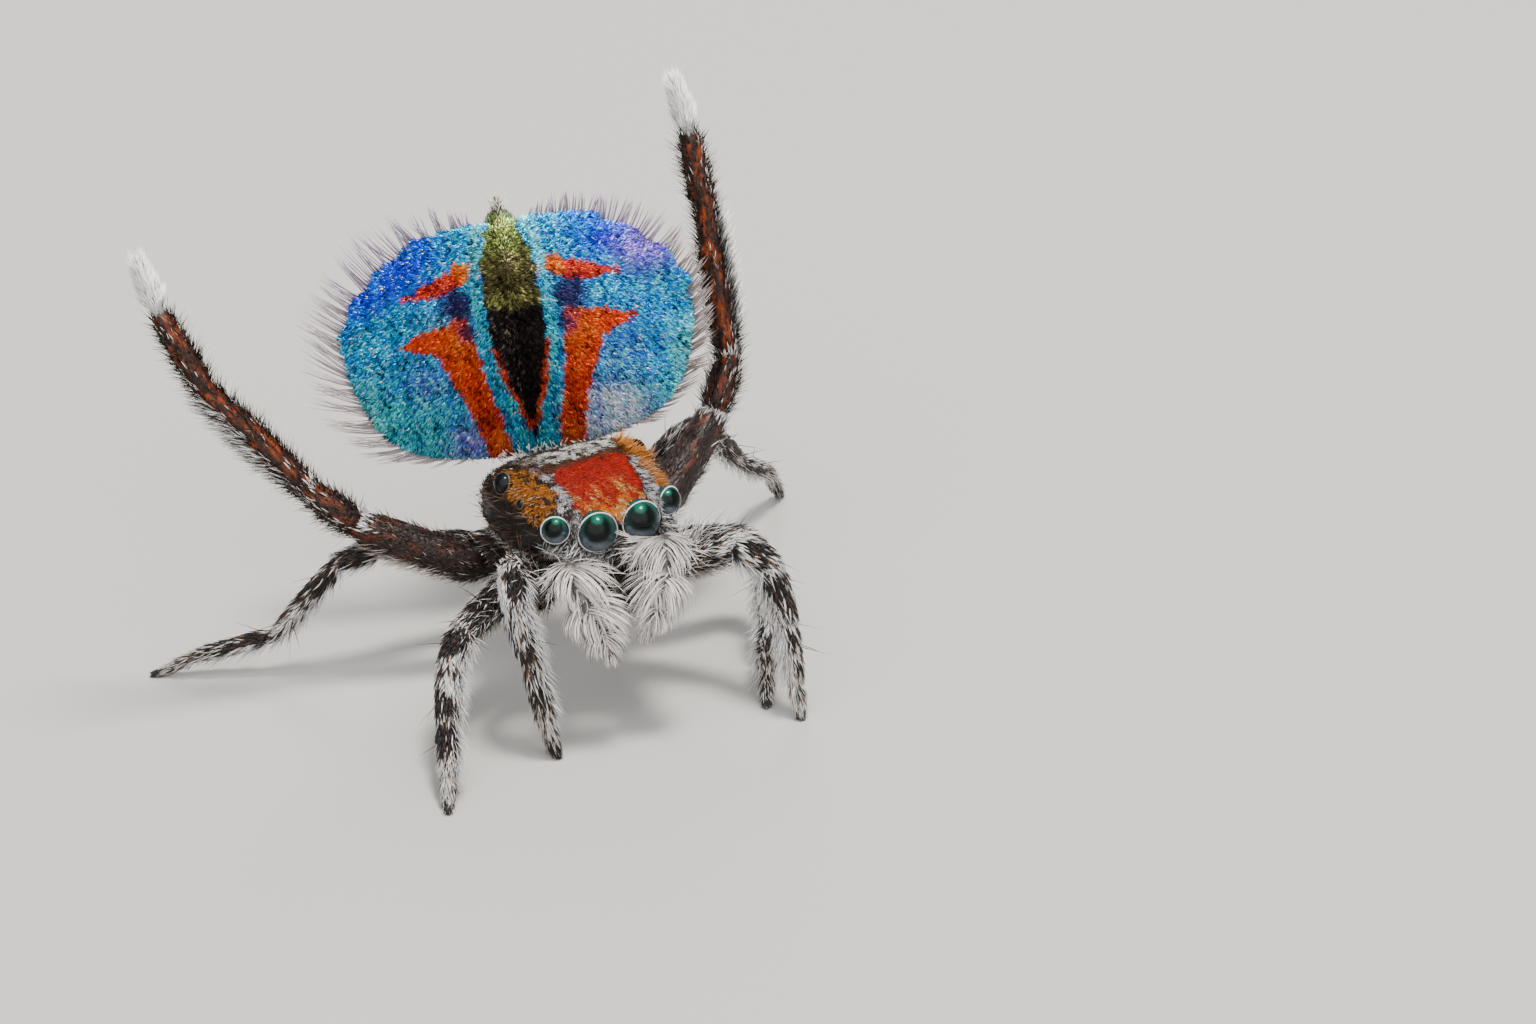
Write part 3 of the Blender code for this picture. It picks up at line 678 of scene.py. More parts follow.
def tube(points, radii, sides, patch, paint):
    # A closed grid round a bent path. Its local values are the run along it, the turn and the place
    steps = unit(np.diff(points, axis=0))
    tangents = unit(np.vstack([steps[:1], steps[:-1] + steps[1:], steps[-1:]]))
    side = unit(np.cross(tangents[0], (0.31, 0.52, 0.79)))
    turns = np.linspace(0, 2 * math.pi, sides, endpoint=False)
    rings = []
    for point, tangent, radius in zip(points, tangents, radii):
        side = unit(side - tangent * (side @ tangent))
        ring = np.cos(turns)[:, None] * side + np.sin(turns)[:, None] * np.cross(tangent, side)
        rings.append(point + radius * ring)
    rings = np.array(rings)
    run = np.concatenate([[0], np.cumsum(np.linalg.norm(np.diff(points, axis=0), axis=1))])
    local = columns(run[:, None], turns, *np.moveaxis(rings, -1, 0))
    return gridOf(rings, local, patch, paint)


def palpColours(_, local):
    fine = ripple(local[:, 2:5], 0.08, 41)
    return mixed(plain(len(local), (0.045, 0.037, 0.033)), (0.15, 0.135, 0.125), ramp(fine, -0.2, 0.6))


def palpGrid(side, low):
    line = resampled(palpRows[side], 90)
    along = np.linspace(0, 1, 90)
    core = line[:, 3] * np.interp(along, [0, 0.3, 0.42, 0.8, 1], [0.8, 0.8, 0.26, 0.24, 0.34])
    knobs = 0.055 * sum(hump(along, knob, 0.05) for knob in palpKnobs) * (along > 0.3)
    return tube(headToStance(line[:, :3]), core + knobs, 36, (0.52, low, 0.98, low + 0.18), palpColours)


def cheliceraGrid(sign, low):
    line = resampled(np.array(cheliceraRows) * (sign, 1, 1, 1), 40)
    return tube(headToStance(line[:, :3]), line[:, 3] * 0.92, 28, (low, 0.80, low + 0.22, 0.97), darkColours)


def pedicelGrid():
    start, end = headToStance((0.0, 2.0, -0.37)), fanToStance((0.0, 0.155, 0.1))
    middle = start * 0.45 + end * 0.55 - fanTurn @ (0, 0, 0.06)
    line = resampled([start, middle, end], 14)
    return tube(line, np.full(14, 0.055), 16, (0.46, 0.56, 0.5, 0.575), darkColours)


palps = {"right": palpGrid("right", 0.58), "left": palpGrid("left", 0.78)}
chelicerae = [cheliceraGrid(1, 0.02), cheliceraGrid(-1, 0.26)]
pedicel = pedicelGrid()


# Legs: each pair's segments from the body to the foot. The skin is a share of the radius with hair

legShape = {
    "1": {
        "rootY": 0.78,
        "lengths": (0.30, 0.90, 0.42, 0.55, 0.57, 0.42),
        "radii": (0.130, 0.185, 0.175, 0.165, 0.135, 0.100),
        "skin": (0.80, 0.76, 0.70, 0.67, 0.66, 0.62),
    },
    "2": {
        "rootY": 1.10,
        "lengths": (0.31, 1.00, 0.44, 0.66, 0.61, 0.44),
        "radii": (0.140, 0.190, 0.175, 0.165, 0.135, 0.100),
        "skin": (0.80, 0.76, 0.70, 0.67, 0.66, 0.62),
    },
    "3": {
        "rootY": 1.42,
        "lengths": (0.46, 1.30, 0.55, 1.60, 0.92, 0.60),
        "radii": (0.140, 0.215, 0.175, 0.210, 0.190, 0.130),
        "skin": (0.85, 0.86, 0.80, 0.60, 0.60, 0.50),
    },
    "4": {
        "rootY": 1.75,
        "lengths": (0.42, 1.02, 0.42, 0.95, 0.80, 0.46),
        "radii": (0.140, 0.150, 0.135, 0.120, 0.100, 0.080),
        "skin": (0.80, 0.80, 0.75, 0.72, 0.70, 0.70),
    },
}
# Heading and pitch of each segment in degrees. A foot without them comes down to the floor
pose = {
    "1_right": ((-60, -15), (-47, 43), (-22, -28), (12, -60), (22, -72)),
    "1_left": ((60, -14), (45, 26), (28, -9), (7, -56), (-5, -67)),
    "2_right": ((-62, -6), (-54, -5), (-40, -15), (-27, -28), (-23, -30)),
    "2_left": ((92, -16), (90, -8), (14, -16), (-25, -30), (-27, -16)),
    "3_right": ((-88, -8), (-106, 26), (-104, 41), (-101, 50), (-109, 63), (-106, 71)),
    "3_left": ((90, 0), (121, 33), (112, 68), (-97, 82), (-93, 79), (-93, 75)),
    "4_right": ((-122, -12), (-88, 9), (-95, -8), (-98, -47), (-108, -14)),
    "4_left": ((105, -8), (112, 30), (120, -8), (125, -45), (128, -34)),
}
# Stations of a leg's outline: the share along a segment and the share of its radius
rootStations = ((0.150, 0.30), (0.135, 0.62), (0.095, 0.86), (0.040, 0.97))
segmentStations = ((0.05, 0.84), (0.20, 0.97), (0.50, 1.0), (0.80, 0.92), (0.95, 0.82))
footStations = ((0.04, 0.82), (0.2, 0.9), (0.5, 0.85), (0.8, 0.62), (0.97, 0.42))
legPaint = {
    "raised": (0.012, 0.007, 0.006),
    "raisedLower": (0.050, 0.013, 0.005),
    "raisedStreak": (0.215, 0.036, 0.005),
    "raisedGrain": (0.018, 0.010, 0.008),
    "raisedUpperStreak": (0.070, 0.014, 0.005),
    "raisedFoot": (0.30, 0.29, 0.28),
    "walking": (0.014, 0.010, 0.009),
    "walkingStreak": (0.080, 0.036, 0.018),
    "walkingPale": (0.07, 0.062, 0.058),
    "walkingFoot": (0.03, 0.032, 0.038),
}


def legJoints(pair, side):
    rows = resampled(sternumRows, 40)
    sign = 1 if side == "left" else -1
    rootY = legShape[pair]["rootY"]
    x = np.interp(rootY, rows[:, 0], rows[:, 1]) + 0.035
    joints = [headToStance((sign * x, rootY, -0.815))]
    turns = pose[f"{pair}_{side}"]
    for i, length in enumerate(legShape[pair]["lengths"]):
        if i < len(turns):
            heading, pitch = np.radians(turns[i])
        else:
            heading = math.radians(turns[-1][0])
            pitch = -math.asin(min(1.0, joints[-1][2] / length))
        way = (math.sin(heading) * math.cos(pitch), -math.cos(heading) * math.cos(pitch), math.sin(pitch))
        joints.append(joints[-1] + np.array(way) * length)
    return joints


def legGrid(pair, side, patch):
    # One continuous skin from the body to the foot, narrowed at each joint
    joints = legJoints(pair, side)
    radii, skin = legShape[pair]["radii"], legShape[pair]["skin"]
    inward = unit(joints[0] - joints[1])
    rows = [(*(joints[0] + inward * reach), radii[0] * skin[0] * size, 0.0) for reach, size in rootStations]
    for i, radius in enumerate(radii):
        for share, size in footStations if i == len(radii) - 1 else segmentStations:
            place = joints[i] * (1 - share) + joints[i + 1] * share
            rows.append((*place, radius * size * skin[i], i + share))
    line = resampled(rows, 160)
    if abs(joints[-1][2]) < 0.02:
        line[:, 2] = np.maximum(line[:, 2], np.minimum(line[:, 3] + 0.004, 0.05))
    grid = tube(line[:, :3], line[:, 3], 24, patch, legColours)
    mark = np.broadcast_to(line[:, 4][:, None, None], grid["local"].shape[:2] + (1,))
    grid["local"] = np.concatenate([grid["local"], mark], axis=-1)
    grid["pair"], grid["side"] = pair, side
    return grid


def legWhiteness(grid, local):
    # How much of the hair at a place is white, from 0 to 1
    run, turn, mark = local[:, 0], local[:, 1], local[:, 5]
    seed = int(grid["pair"]) * 10 + (grid["side"] == "left")
    space = columns(run * 0.55, np.cos(turn) * 0.15, np.sin(turn) * 0.15)
    share = 0.19 + 1.10 * ripple(space, 0.19, seed) + 0.40 * ripple(space, 0.06, seed + 1)
    atJoint = 1 - ramp(np.abs(mark - np.round(mark)), 0.05, 0.12)
    share = np.maximum(share, atJoint * ramp(mark, 1.4, 1.9) * 0.7)
    share = share * (1 - 0.93 * (1 - ramp(mark, 1.75, 1.95)))
    return np.clip(share * (0.55 if grid["pair"] == "4" else 1), 0.02, 0.90)


def legColours(grid, local):
    # Glossy red-brown on the raised pair, and mottled white, brown and black on the others
    run, turn, mark = local[:, 0], local[:, 1], local[:, 5]
    space = columns(run * 0.22, np.cos(turn) * 0.16, np.sin(turn) * 0.16)
    streak = ripple(space, 0.05, int(grid["pair"]) * 7)
    if grid["pair"] != "3":
        return layered(
            plain(len(run), legPaint["walking"]),
            legPaint,
            walkingStreak=ramp(streak, 0.0, 0.7),
            walkingPale=ramp(legWhiteness(grid, local), 0.5, 0.9),
            walkingFoot=ramp(mark, 5.85, 5.95),
        )
    fine = ripple(space * (0.6, 1, 1), 0.022, 17)
    knee = ramp(mark, 1.95, 2.05) * 0.55 * (1 - ramp(mark, 2.9, 3.0))
    lower = np.maximum(window(mark, 2.95, 3.05, 5.0, 5.1), knee)
    upper = (1 - lower) * ramp(streak, 0.35, 0.7) * ramp(mark, 1.15, 1.5) * (mark < 2.9)
    return layered(
        plain(len(run), legPaint["raised"]),
        legPaint,
        raisedLower=lower * ramp(streak, -0.9, 0.0),
        raisedStreak=lower * ramp(streak, 0.15, 0.50),
        raisedGrain=ramp(fine, 0.25, 0.60) * ramp(mark, 0.5, 1.0) * 0.85,
        raisedUpperStreak=upper,
        raisedFoot=ramp(mark, 5.02, 5.12),
    )


legs = {}
for index, key in enumerate(pose):
    low = 0.01 + 0.124 * index
    legs[key] = legGrid(*key.split("_"), (low, 0.02, low + 0.115, 0.98))


# Skins of the body and the legs

bodySkin = joinedGrids("bodySkin", [carapace, sternum, pedicel, *chelicerae, *palps.values()], skinMaterial)
legSkin = joinedGrids("legSkin", list(legs.values()), skinMaterial)
bodyNodes = ["carapace", "sternum", "pedicel", "chelicera_left", "chelicera_right"]
bodyNodes += [f"palp_{part}_{side}" for part in ("arm", "club") for side in ("left", "right")]
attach(bodySkin, "root")
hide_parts(*bodyNodes)
legNodes = [f"leg_{key[0]}_{part}_{key[2:]}" for key in pose for part in ("femur", "tibia", "tarsus")]
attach(legSkin, "root")
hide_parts(*legNodes)
print("body and leg skins made")


# Coats share one way of being finished, and their hair points with the head or the fan


def coat(obj):
    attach(obj, "root")


def headWay(*parts):
    return columns(*parts) @ headTurn.T


def fanWay(*parts):
    return columns(*parts) @ fanTurn.T


# Head coat: short flat hair that follows the head forward and down

headHair = {
    "count": 45000,
    "width": 0.0145,
    "lean": 17,
    "spread": 0.30,
    "root": 0.62,  # brightness of a hair's root, and of its tip below
    "tip": 1.42,
}
eyeRim = {
    "front": {"radius": 0.0065, "colour": (0.62, 0.63, 0.62)},
    "rear": {"radius": 0.010, "colour": (0.07, 0.045, 0.03)},
}
# Longer hair on the head. It points outwards from the parting, or one way where that is past the head
# A look is its count, colour, length, width, lean in degrees, curl and spread
faceHair = (
    {
        "where": lambda x, y, z: (y < 0.32) & (z < -0.02) & (abs(x) < 0.74),
        "look": (900, (0.78, 0.75, 0.73), 0.18, 0.0125, 17, 0.14, 0.35),
        "way": (1.1, -0.25, -0.55),
        "parting": -0.02,
    },
    {
        "where": lambda x, y, z: (y < 0.4) & (z < -0.02) & (abs(x) < 0.80),
        "look": (900, (0.020, 0.016, 0.015), 0.15, 0.012, 20, 0.1, 0.5),
        "way": (1.0, -0.3, -0.6),
    },
    # Long pale hair between the palps
    {
        "where": lambda x, y, z: (y < 0.25) & (z < -0.16) & (abs(x) < 0.34),
        "look": (150, (0.80, 0.77, 0.75), 0.34, 0.0125, 20, 0.12, 0.3),
        "way": (0.35, -0.35, -1.0),
        "parting": -0.04,
    },
    # Between the front eyes
    {
        "where": lambda x, y, z: (y < 0.16) & (z < 0.15) & (abs(x) < 0.55),
        "look": (520, (0.60, 0.60, 0.60), 0.075, 0.010, 25, 0.1, 0.6),
        "way": (0.5, -0.5, -0.9),
    },
    # Fine bristles, dark hair and a pale hem down the flanks
    {
        "where": lambda x, y, z: (y > 0.3) & (y < 1.5) & (z < 0.1),
        "look": (420, (0.15, 0.095, 0.06), 0.19, 0.0075, 58, 0.1, 0.5),
        "way": (1.0, 0.3, 0.1),
    },
    {
        "where": lambda x, y, z: (y > 0.30) & (y < 1.7) & (z < -0.42),
        "look": (1500, (0.035, 0.024, 0.018), 0.15, 0.016, 20, 0.1, 0.3),
        "way": (0.3, -0.1, -1.0),
    },
    {
        "where": lambda x, y, z: (y > 0.28) & (y < 1.7) & (z < -0.50),
        "look": (900, (0.56, 0.53, 0.51), 0.17, 0.012, 30, 0.2, 0.5),
        "way": (0.8, -0.3, -0.6),
    },
    # Dark and pale hair on the slope at the rear. The dark hair is partly the head's own dark hair and partly
    # painted shade in the gap below the fan
    {
        "where": lambda x, y, z: (y > 1.42) & (y < 1.95),
        "look": (1100, (0.020, 0.014, 0.012), 0.10, 0.010, 24, 0.0, 0.4),
        "way": (0.3, 1.0, 0.6),
    },
    {
        "where": lambda x, y, z: (y > 1.42) & (y < 1.85) & (z > -0.2),
        "look": (70, (0.66, 0.64, 0.62), 0.09, 0.011, 30, 0.0, 0.5),
        "way": (0.5, 0.4, 0.9),
        "parting": 9,
    },
    # A ridge of orange and pale hair inside the rear eyes, and longer hair on its left
    {
        "where": lambda x, y, z: (z > 0.0) & (abs(x) > 0.52) & (abs(x) < 0.70) & (y > 0.35) & (y < 1.32),
        "look": (1200, (0.46, 0.155, 0.012), 0.105, 0.014, 34, 0.0, 0.5),
        "way": (0.8, -0.6, 0.2),
        "margin": 0.02,
    },
    {
        "where": lambda x, y, z: (z > 0.0) & (abs(x) > 0.52) & (abs(x) < 0.70) & (y > 0.35) & (y < 1.32),
        "look": (150, (0.55, 0.53, 0.52), 0.10, 0.012, 34, 0.0, 0.5),
        "way": (0.6, -0.6, 0.2),
        "margin": 0.02,
    },
    {
        "where": lambda x, y, z: (z > -0.02) & (x > 0.50) & (x < 0.70) & (y > 0.95) & (y < 1.34),
        "look": (240, (0.46, 0.155, 0.012), 0.16, 0.015, 52, 0.0, 0.5),
        "way": (0.6, -0.6, 0.3),
        "parting": -9,
        "margin": 0.02,
    },
)


def headHairShare(local):
    return (1.6 - ramp(local[:, 1], 1.3, 1.7)) * (0.35 + 0.65 * ramp(local[:, 2], -0.10, 0.03))


def makeHeadCoat():
    chance = np.random.default_rng(11)
    places = scattered(carapace, headHair["count"], chance, headHairShare)
    places = kept(places, ~nearEyes(places["local"], 0.012))
    local = places["local"]
    colour = headColours(local) * np.clip(chance.lognormal(-0.10, 0.50, (len(local), 1)), 0.25, 2.2)
    x, y, z = local.T
    flank = ramp(-z, -0.08, 0.05)
    way = headWay(x * 0.35, -1, -0.2) * (1 - flank[:, None])
    way = way + headWay(0.2 * np.sign(x), 0.15, -1) * flank[:, None]
    red = colour[:, 0] > colour[:, 2] * 4
    length = 0.070 + 0.025 * (1 - red) - 0.025 * (1 - ramp(y, 0.05, 0.2)) - 0.035 * flank
    root, tip = colour * headHair["root"], np.clip(colour * headHair["tip"], 0, 0.95)
    lean = headHair["lean"] - 7 * flank
    short = hair(places, length, headHair["width"], root, chance, lean, 0.0, way, tip, headHair["spread"])
    coat(strands("headHair", [short], hairMaterial, rows=1, flat=0.6))


def makeEyeRims():
    # A thin pale ring round each front eye and a dark one round each rear eye
    def rimColours(grid, local):
        return plain(len(local), grid["shade"])

    rims = []
    turn = np.linspace(0, 2 * math.pi, 60)[:, None]
    for name, _, radius, place, facing in eyePlaces():
        look = eyeRim["front" if "anterior" in name else "rear"]
        first = unit(np.cross(facing, up))
        second = np.cross(facing, first)
        depth = 0.22 * radius
        reach = math.sqrt(radius**2 - depth**2) + 0.004
        path = place + facing * depth + reach * (np.cos(turn) * first + np.sin(turn) * second)
        rim = tube(headToStance(path), np.full(60, look["radius"]), 10, (0.1, 0.1, 0.9, 0.9), rimColours)
        rim["shade"] = look["colour"]
        rims.append(rim)
    coat(joinedGrids("eyeRims", rims, hairMaterial))


def makeFaceHair():
    chance = np.random.default_rng(13)

    def grown(where, look, way, parting=0, margin=0.01):
        count, shade, length, width, lean, curl, spread = look
        places = scattered(carapace, count, chance, lambda local: where(*local.T) * 1.0 + 1e-6)
        places = kept(places, ~nearEyes(places["local"], margin))
        tip = varied(plain(len(places["root"]), shade), chance, 0.45)
        heading = headWay(way[0] * np.sign(places["local"][:, 0] - parting), way[1], way[2])
        return hair(places, length, width, tip * 0.40, chance, lean, curl, heading, tip, spread)

    parts = [grown(**kind) for kind in faceHair]
    coat(strands("faceHair", parts, hairMaterial))


makeHeadCoat()
makeEyeRims()
makeFaceHair()


# Palp plumes: tiers of long pale hair that arch out and down like the barbs of a feather

# Each tier: its share of the palp, its plumes, how much longer the inner ones are, and how many are darkened
# as painted shade between the plumes
palpTiers = (
    {"start": 0.06, "end": 0.35, "count": 180, "length": 0.12, "inner": 0.0, "dark": 0.45, "droop": 0.9},
    {"start": 0.325, "end": 0.50, "count": 400, "length": 0.285, "inner": 0.55, "dark": 0.10, "droop": 0.0},
    {"start": 0.54, "end": 0.68, "count": 370, "length": 0.270, "inner": 0.40, "dark": 0.10, "droop": 0.0},
    {"start": 0.715, "end": 0.95, "count": 430, "length": 0.200, "inner": 0.10, "dark": 0.10, "droop": 0.0},
)
# Plume roots are painted shade, with painted light added where they face forward
plume = {"width": (0.014, 0.024), "colour": (0.95, 0.90, 0.87), "shade": (0.10, 0.088, 0.080), "lit": 0.42}
underHair = {
    "chelicera": {"count": 900, "shade": (0.026, 0.019, 0.016), "length": 0.10, "width": 0.013, "lean": 24},
    "sternum": {"count": 1600, "shade": (0.12, 0.09, 0.07), "length": 0.09, "width": 0.011, "lean": 18},
}


def palpTier(side, index, chance):
    grid, tier = palps[side], palpTiers[index]
    total = grid["local"][..., 0].max()
    start, end, count = tier["start"], tier["end"], tier["count"]

    def inTier(local):
        return (local[:, 0] > start * total) * (local[:, 0] < end * total) + 1e-9

    places = scattered(grid, count, chance, inTier)
    share = np.clip((places["local"][:, 0] / total - start) / (end - start), 0, 1)
    normal, axis = places["normal"], places["along"]
    across = unit(np.cross(axis, np.tile(plumeFace, (count, 1))))
    bend = (normal * across).sum(axis=1)
    sign = np.where(np.abs(bend) > 0.25, np.sign(bend), chance.choice((-1.0, 1.0), count))
    wing = across * (sign * (0.45 + 0.55 * np.abs(bend)))[:, None]
    fanned = np.radians(72 - 47 * share + chance.normal(0, 5, count))[:, None]
    way = unit(axis * np.cos(fanned) + unit(wing + normal * 0.32) * np.sin(fanned))
    way = unit(way + chance.normal(0, 0.045, (count, 3)) - up * tier["droop"])
    if index < 2:
        way[:, 2] = np.minimum(way[:, 2], 0.05)
        way = unit(way)
    shorter = 0.45 if index == 3 else 0
    length = tier["length"] * (1.0 - shorter * share) * chance.uniform(0.78, 1.12, count)
    inward = way[:, 0] * (1 if side == "right" else -1)
    length = length * (1 + tier["inner"] * ramp(inward, 0.1, 0.6))
    pale = varied(plain(count, plume["colour"]), chance, 0.10)
    # Some plumes are darkened as painted shade in the gaps between plumes
    pale[chance.uniform(size=count) < tier["dark"]] *= 0.13
    # Roots that face forward get more painted light
    front = ramp(normal @ unit(plumeFace), 0.35, 0.85)
    curl = axis * 0.42 - wing * 0.36 + (0, 0, -0.08)
    width = chance.uniform(*plume["width"], count)
    root = pale * (np.array(plume["shade"]) + plume["lit"] * front[:, None])
    base = places["root"] - normal * 0.01
    return strandPart(base, way, curl, length, width, root, pale, places["uv"], normal)


def makePalpCoat():
    chance = np.random.default_rng(21)

    def under(grid, count, shade, length, width, lean):
        places = scattered(grid, count, chance)
        colour = varied(plain(count, shade), chance, 0.5)
        return hair(places, length, width, colour, chance, lean, 0.1)

    plumes = [palpTier(side, index, chance) for side in palps for index in range(len(palpTiers))]
    coat(strands("palpPlumes", plumes, plumeMaterial, rows=4, flat=0.8))
    parts = [under(grid, **underHair["chelicera"]) for grid in chelicerae]
    parts.append(under(sternum, **underHair["sternum"]))
    coat(strands("underHair", parts, hairMaterial))


makePalpCoat()
print("head and palps coated")


# Leg coats, kind by kind, in the terms of the first line. None stands for the mottled colours

hairTerms = ("count", "shade", "length", "width", "lean", "curl", "spread", "mix", "root", "tip")
raisedHair = {
    "dark": (1750, (0.018, 0.010, 0.008), 0.13, 0.013, 11),
    "fawn": (260, (0.34, 0.26, 0.22), 0.09, 0.011, 10),
    "flank": (1500, (0.022, 0.014, 0.011), 0.125, 0.011, 33, 0.0, 0.3),
    "bristle": (620, (0.040, 0.024, 0.017), 0.19, 0.0085, 46, 0.0, 0.35),
    "outer": (260, (0.72, 0.69, 0.66), 0.12, 0.020, 10, 0.0, 0.15),
    "knee": (240, (0.76, 0.74, 0.72), 0.11, 0.020, 14, 0.05, 0.2),
    "fringe": (380, (0.70, 0.68, 0.65), 0.25, 0.017, 36, 0.05, 0.15, 0.75),
    "thigh": (240, (0.55, 0.48, 0.42), 0.20, 0.011, 42, 0.15, 0.3),
    "brush": (1250, (0.93, 0.92, 0.90), 0.23, 0.0155, 17, -0.02, 0.12, 0.1, 0.74, (0.95, 0.95, 0.94)),
    # Grey strands in the foot brush are painted shade lines
    "brushShade": (170, (0.20, 0.19, 0.195), 0.21, 0.012, 18, -0.02, 0.12),
    "spine": (34, (0.075, 0.038, 0.022), 0.20, 0.011, 52, 0.05, 0.5),
}
walkingHair = {
    "mottled": (3200, None, 0.155, 0.0235, 14, 0.08, 0.2),
    "thigh": (190, (0.82, 0.79, 0.77), 0.20, 0.0075, 30, 0.25, 0.4),
    "inner": (330, (0.90, 0.87, 0.85), 0.24, 0.0125, 36, 0.12, 0.25),
    "spray": (110, (0.82, 0.79, 0.77), 0.31, 0.0105, 58, 0.12, 0.5, 0.25),
    "under": (340, (0.52, 0.46, 0.41), 0.22, 0.0095, 48, 0.2, 0.3),
    "shin": (200, (0.62, 0.56, 0.50), 0.15, 0.014, 18, 0.0),
    "foot": (220, (0.035, 0.038, 0.047), 0.065, 0.019, 55, 0.0, 0.5),
    "spine": (16, (0.075, 0.038, 0.022), 0.33, 0.011, 52, 0.05, 0.5),
}
# What is smaller on the thin rear legs
rearLegSize = 0.85
smallerOnRear = {
    "mottled": ("count", "length", "width"),
    "thigh": ("count",),
    "inner": ("count", "length"),
    "under": ("count", "length"),
    "shin": ("count",),
}
mottle = {
    "dark": (0.018, 0.014, 0.013),
    "brown": (0.155, 0.080, 0.045),
    "grey": (0.36, 0.33, 0.31),
    "white": (0.88, 0.85, 0.83),
}
claw = {"length": 0.075, "width": 0.03, "colour": (0.012, 0.010, 0.010), "tip": (0.03, 0.025, 0.025)}


def legWeights(pair, side, grid):
    # How thick each kind of hair grows over the cells of a leg
    points = grid["points"]
    normals = unit(points - points.mean(axis=1, keepdims=True))[:-1].reshape(-1, 3)
    marks = grid["local"][:-1, :, 5].reshape(-1)
    flank = unit(np.cross(unit(points[1:] - points[:-1]).reshape(-1, 3), plumeFace))
    sideways = (normals * flank).sum(axis=1)
    outward = sideways * (1 if side == "left" else -1)
    sides, outer, inner = ramp(np.abs(sideways), 0.35, 0.85), ramp(outward, 0.3, 0.8), ramp(outward, 0.0, 0.6)
    above = normals[:, 2]
    under = ramp(-above, 0.2, 0.8)
    body = ramp(marks, 0.0, 0.3)
    spine = window(marks, 1.2, 1.5, 4.6, 5.0) * ramp(above + 0.6, 0, 0.6)
    if pair == "3":
        shaft = body * (1 - ramp(marks, 5.0, 5.1))
        lower = window(marks, 1.9, 2.1, 4.95, 5.05)
        knees = hump(marks, 1.98, 0.07) + hump(marks, 3.05, 0.04) * 0.6
        brush = window(marks, 4.98, 5.08, 5.75, 5.9)
        return {
            "dark": shaft,
            "fawn": shaft,
            "flank": (sides + 0.08) * (lower + 0.25 * body),
            "bristle": sides * lower,
            "outer": (outer + 0.1) * (lower + 0.05 * body),
            "knee": knees * ramp(above + 0.4, 0, 1),
            "fringe": outer**3 * window(marks, 3.1, 3.3, 3.9, 4.0),
            "thigh": under * window(marks, 0.5, 0.8, 1.7, 1.9),
            "brush": brush,
            "brushShade": brush,
            "spine": spine,
        }
    thigh = window(marks, 0.4, 0.8, 1.75, 1.95)
    weights = {
        "mottled": body * (1 - 0.3 * (marks < 1.8)) * (1 - ramp(marks, 5.70, 5.80)),
        "thigh": thigh,
        "inner": inner * sides * window(marks, 2.0, 2.2, 4.9, 5.2),
        "under": under * thigh,
        "shin": window(marks, 4.2, 5.0, 5.7, 5.8),
        "foot": ramp(marks, 5.70, 5.80),
        "spine": spine,
    }
    if side == "left" and pair != "4":
        weights["spray"] = ramp(above, 0.1, 0.6) * window(marks, 0.5, 0.8, 1.5, 1.8)
    return weights


def makeLegCoat(key):
    pair, side = key.split("_")
    grid = legs[key]
    raised = pair == "3"
    chance = np.random.default_rng(31 + list(pose).index(key))
    weights = legWeights(pair, side, grid)

    def mottled(places):
        white = legWhiteness(grid, places["local"])
        chosen = chance.uniform(size=len(white))
        made = plain(len(white), mottle["dark"])
        made[chosen < white + 0.02 + 0.20 * (white > 0.1)] = mottle["brown"]
        made[chosen < white + 0.05 * (white > 0.1)] = mottle["grey"]
        made[chosen < white] = mottle["white"]
        return made

    def grown(
        weight, count, shade, length, width, lean, curl=0.1, spread=0.25, mix=0.35, root=0.36, tip=None
    ):
        places = scattered(grid, count, chance, weight + 1e-6)
        colour = varied(plain(count, shade) if shade else mottled(places), chance, mix)
        far = plain(count, tip) if tip else np.clip(colour * 1.2, 0, 0.92)
        lean = lean * ramp(places["root"][:, 2], 0.02, 0.22)
        return hair(places, length, width, colour * root, chance, lean, curl, tip=far, spread=spread)

    parts = []
    for kind, row in (raisedHair if raised else walkingHair).items():
        if kind not in weights:
            continue
        look = dict(zip(hairTerms, row))
        if pair == "4":
            for term in smallerOnRear.get(kind, ()):
                look[term] *= rearLegSize
        look["count"] = int(look["count"])
        parts.append(grown(weights[kind], **look))
    coat(strands(f"legHair_{key}", parts, hairMaterial, flat=0.7))


def makeClaws():
    # A dark pair at the end of each foot
    parts = []
    for key in pose:
        pair, side = key.split("_")
        end, before = legJoints(pair, side)[-1], legJoints(pair, side)[-2]
        way = unit(end - before)
        across = unit(np.cross(way, up + way[[1, 2, 0]] * 0.3))
        for sign in (-1, 1):
            root = end - way * 0.09 + across * sign * 0.02
            if pair != "3":
                root[2] = max(root[2], 0.045)
            curl = (0, 0, -0.15 if pair == "3" else 0.25)
            look = (claw["length"], claw["width"], claw["colour"], claw["tip"])
            part = (root, way + across * sign * 0.35, curl, *look, (0.5, 0.5), across)
            parts.append(strandPart(*(np.array([value]) for value in part)))
    claws = strands("claws", parts, skinMaterial, rows=4)
    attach(claws, "root")


for key in pose:
    makeLegCoat(key)
makeClaws()
print("legs coated")


# Fan: rows of the abdomen from foot to tip with half width, front and back, and the rim of a flap

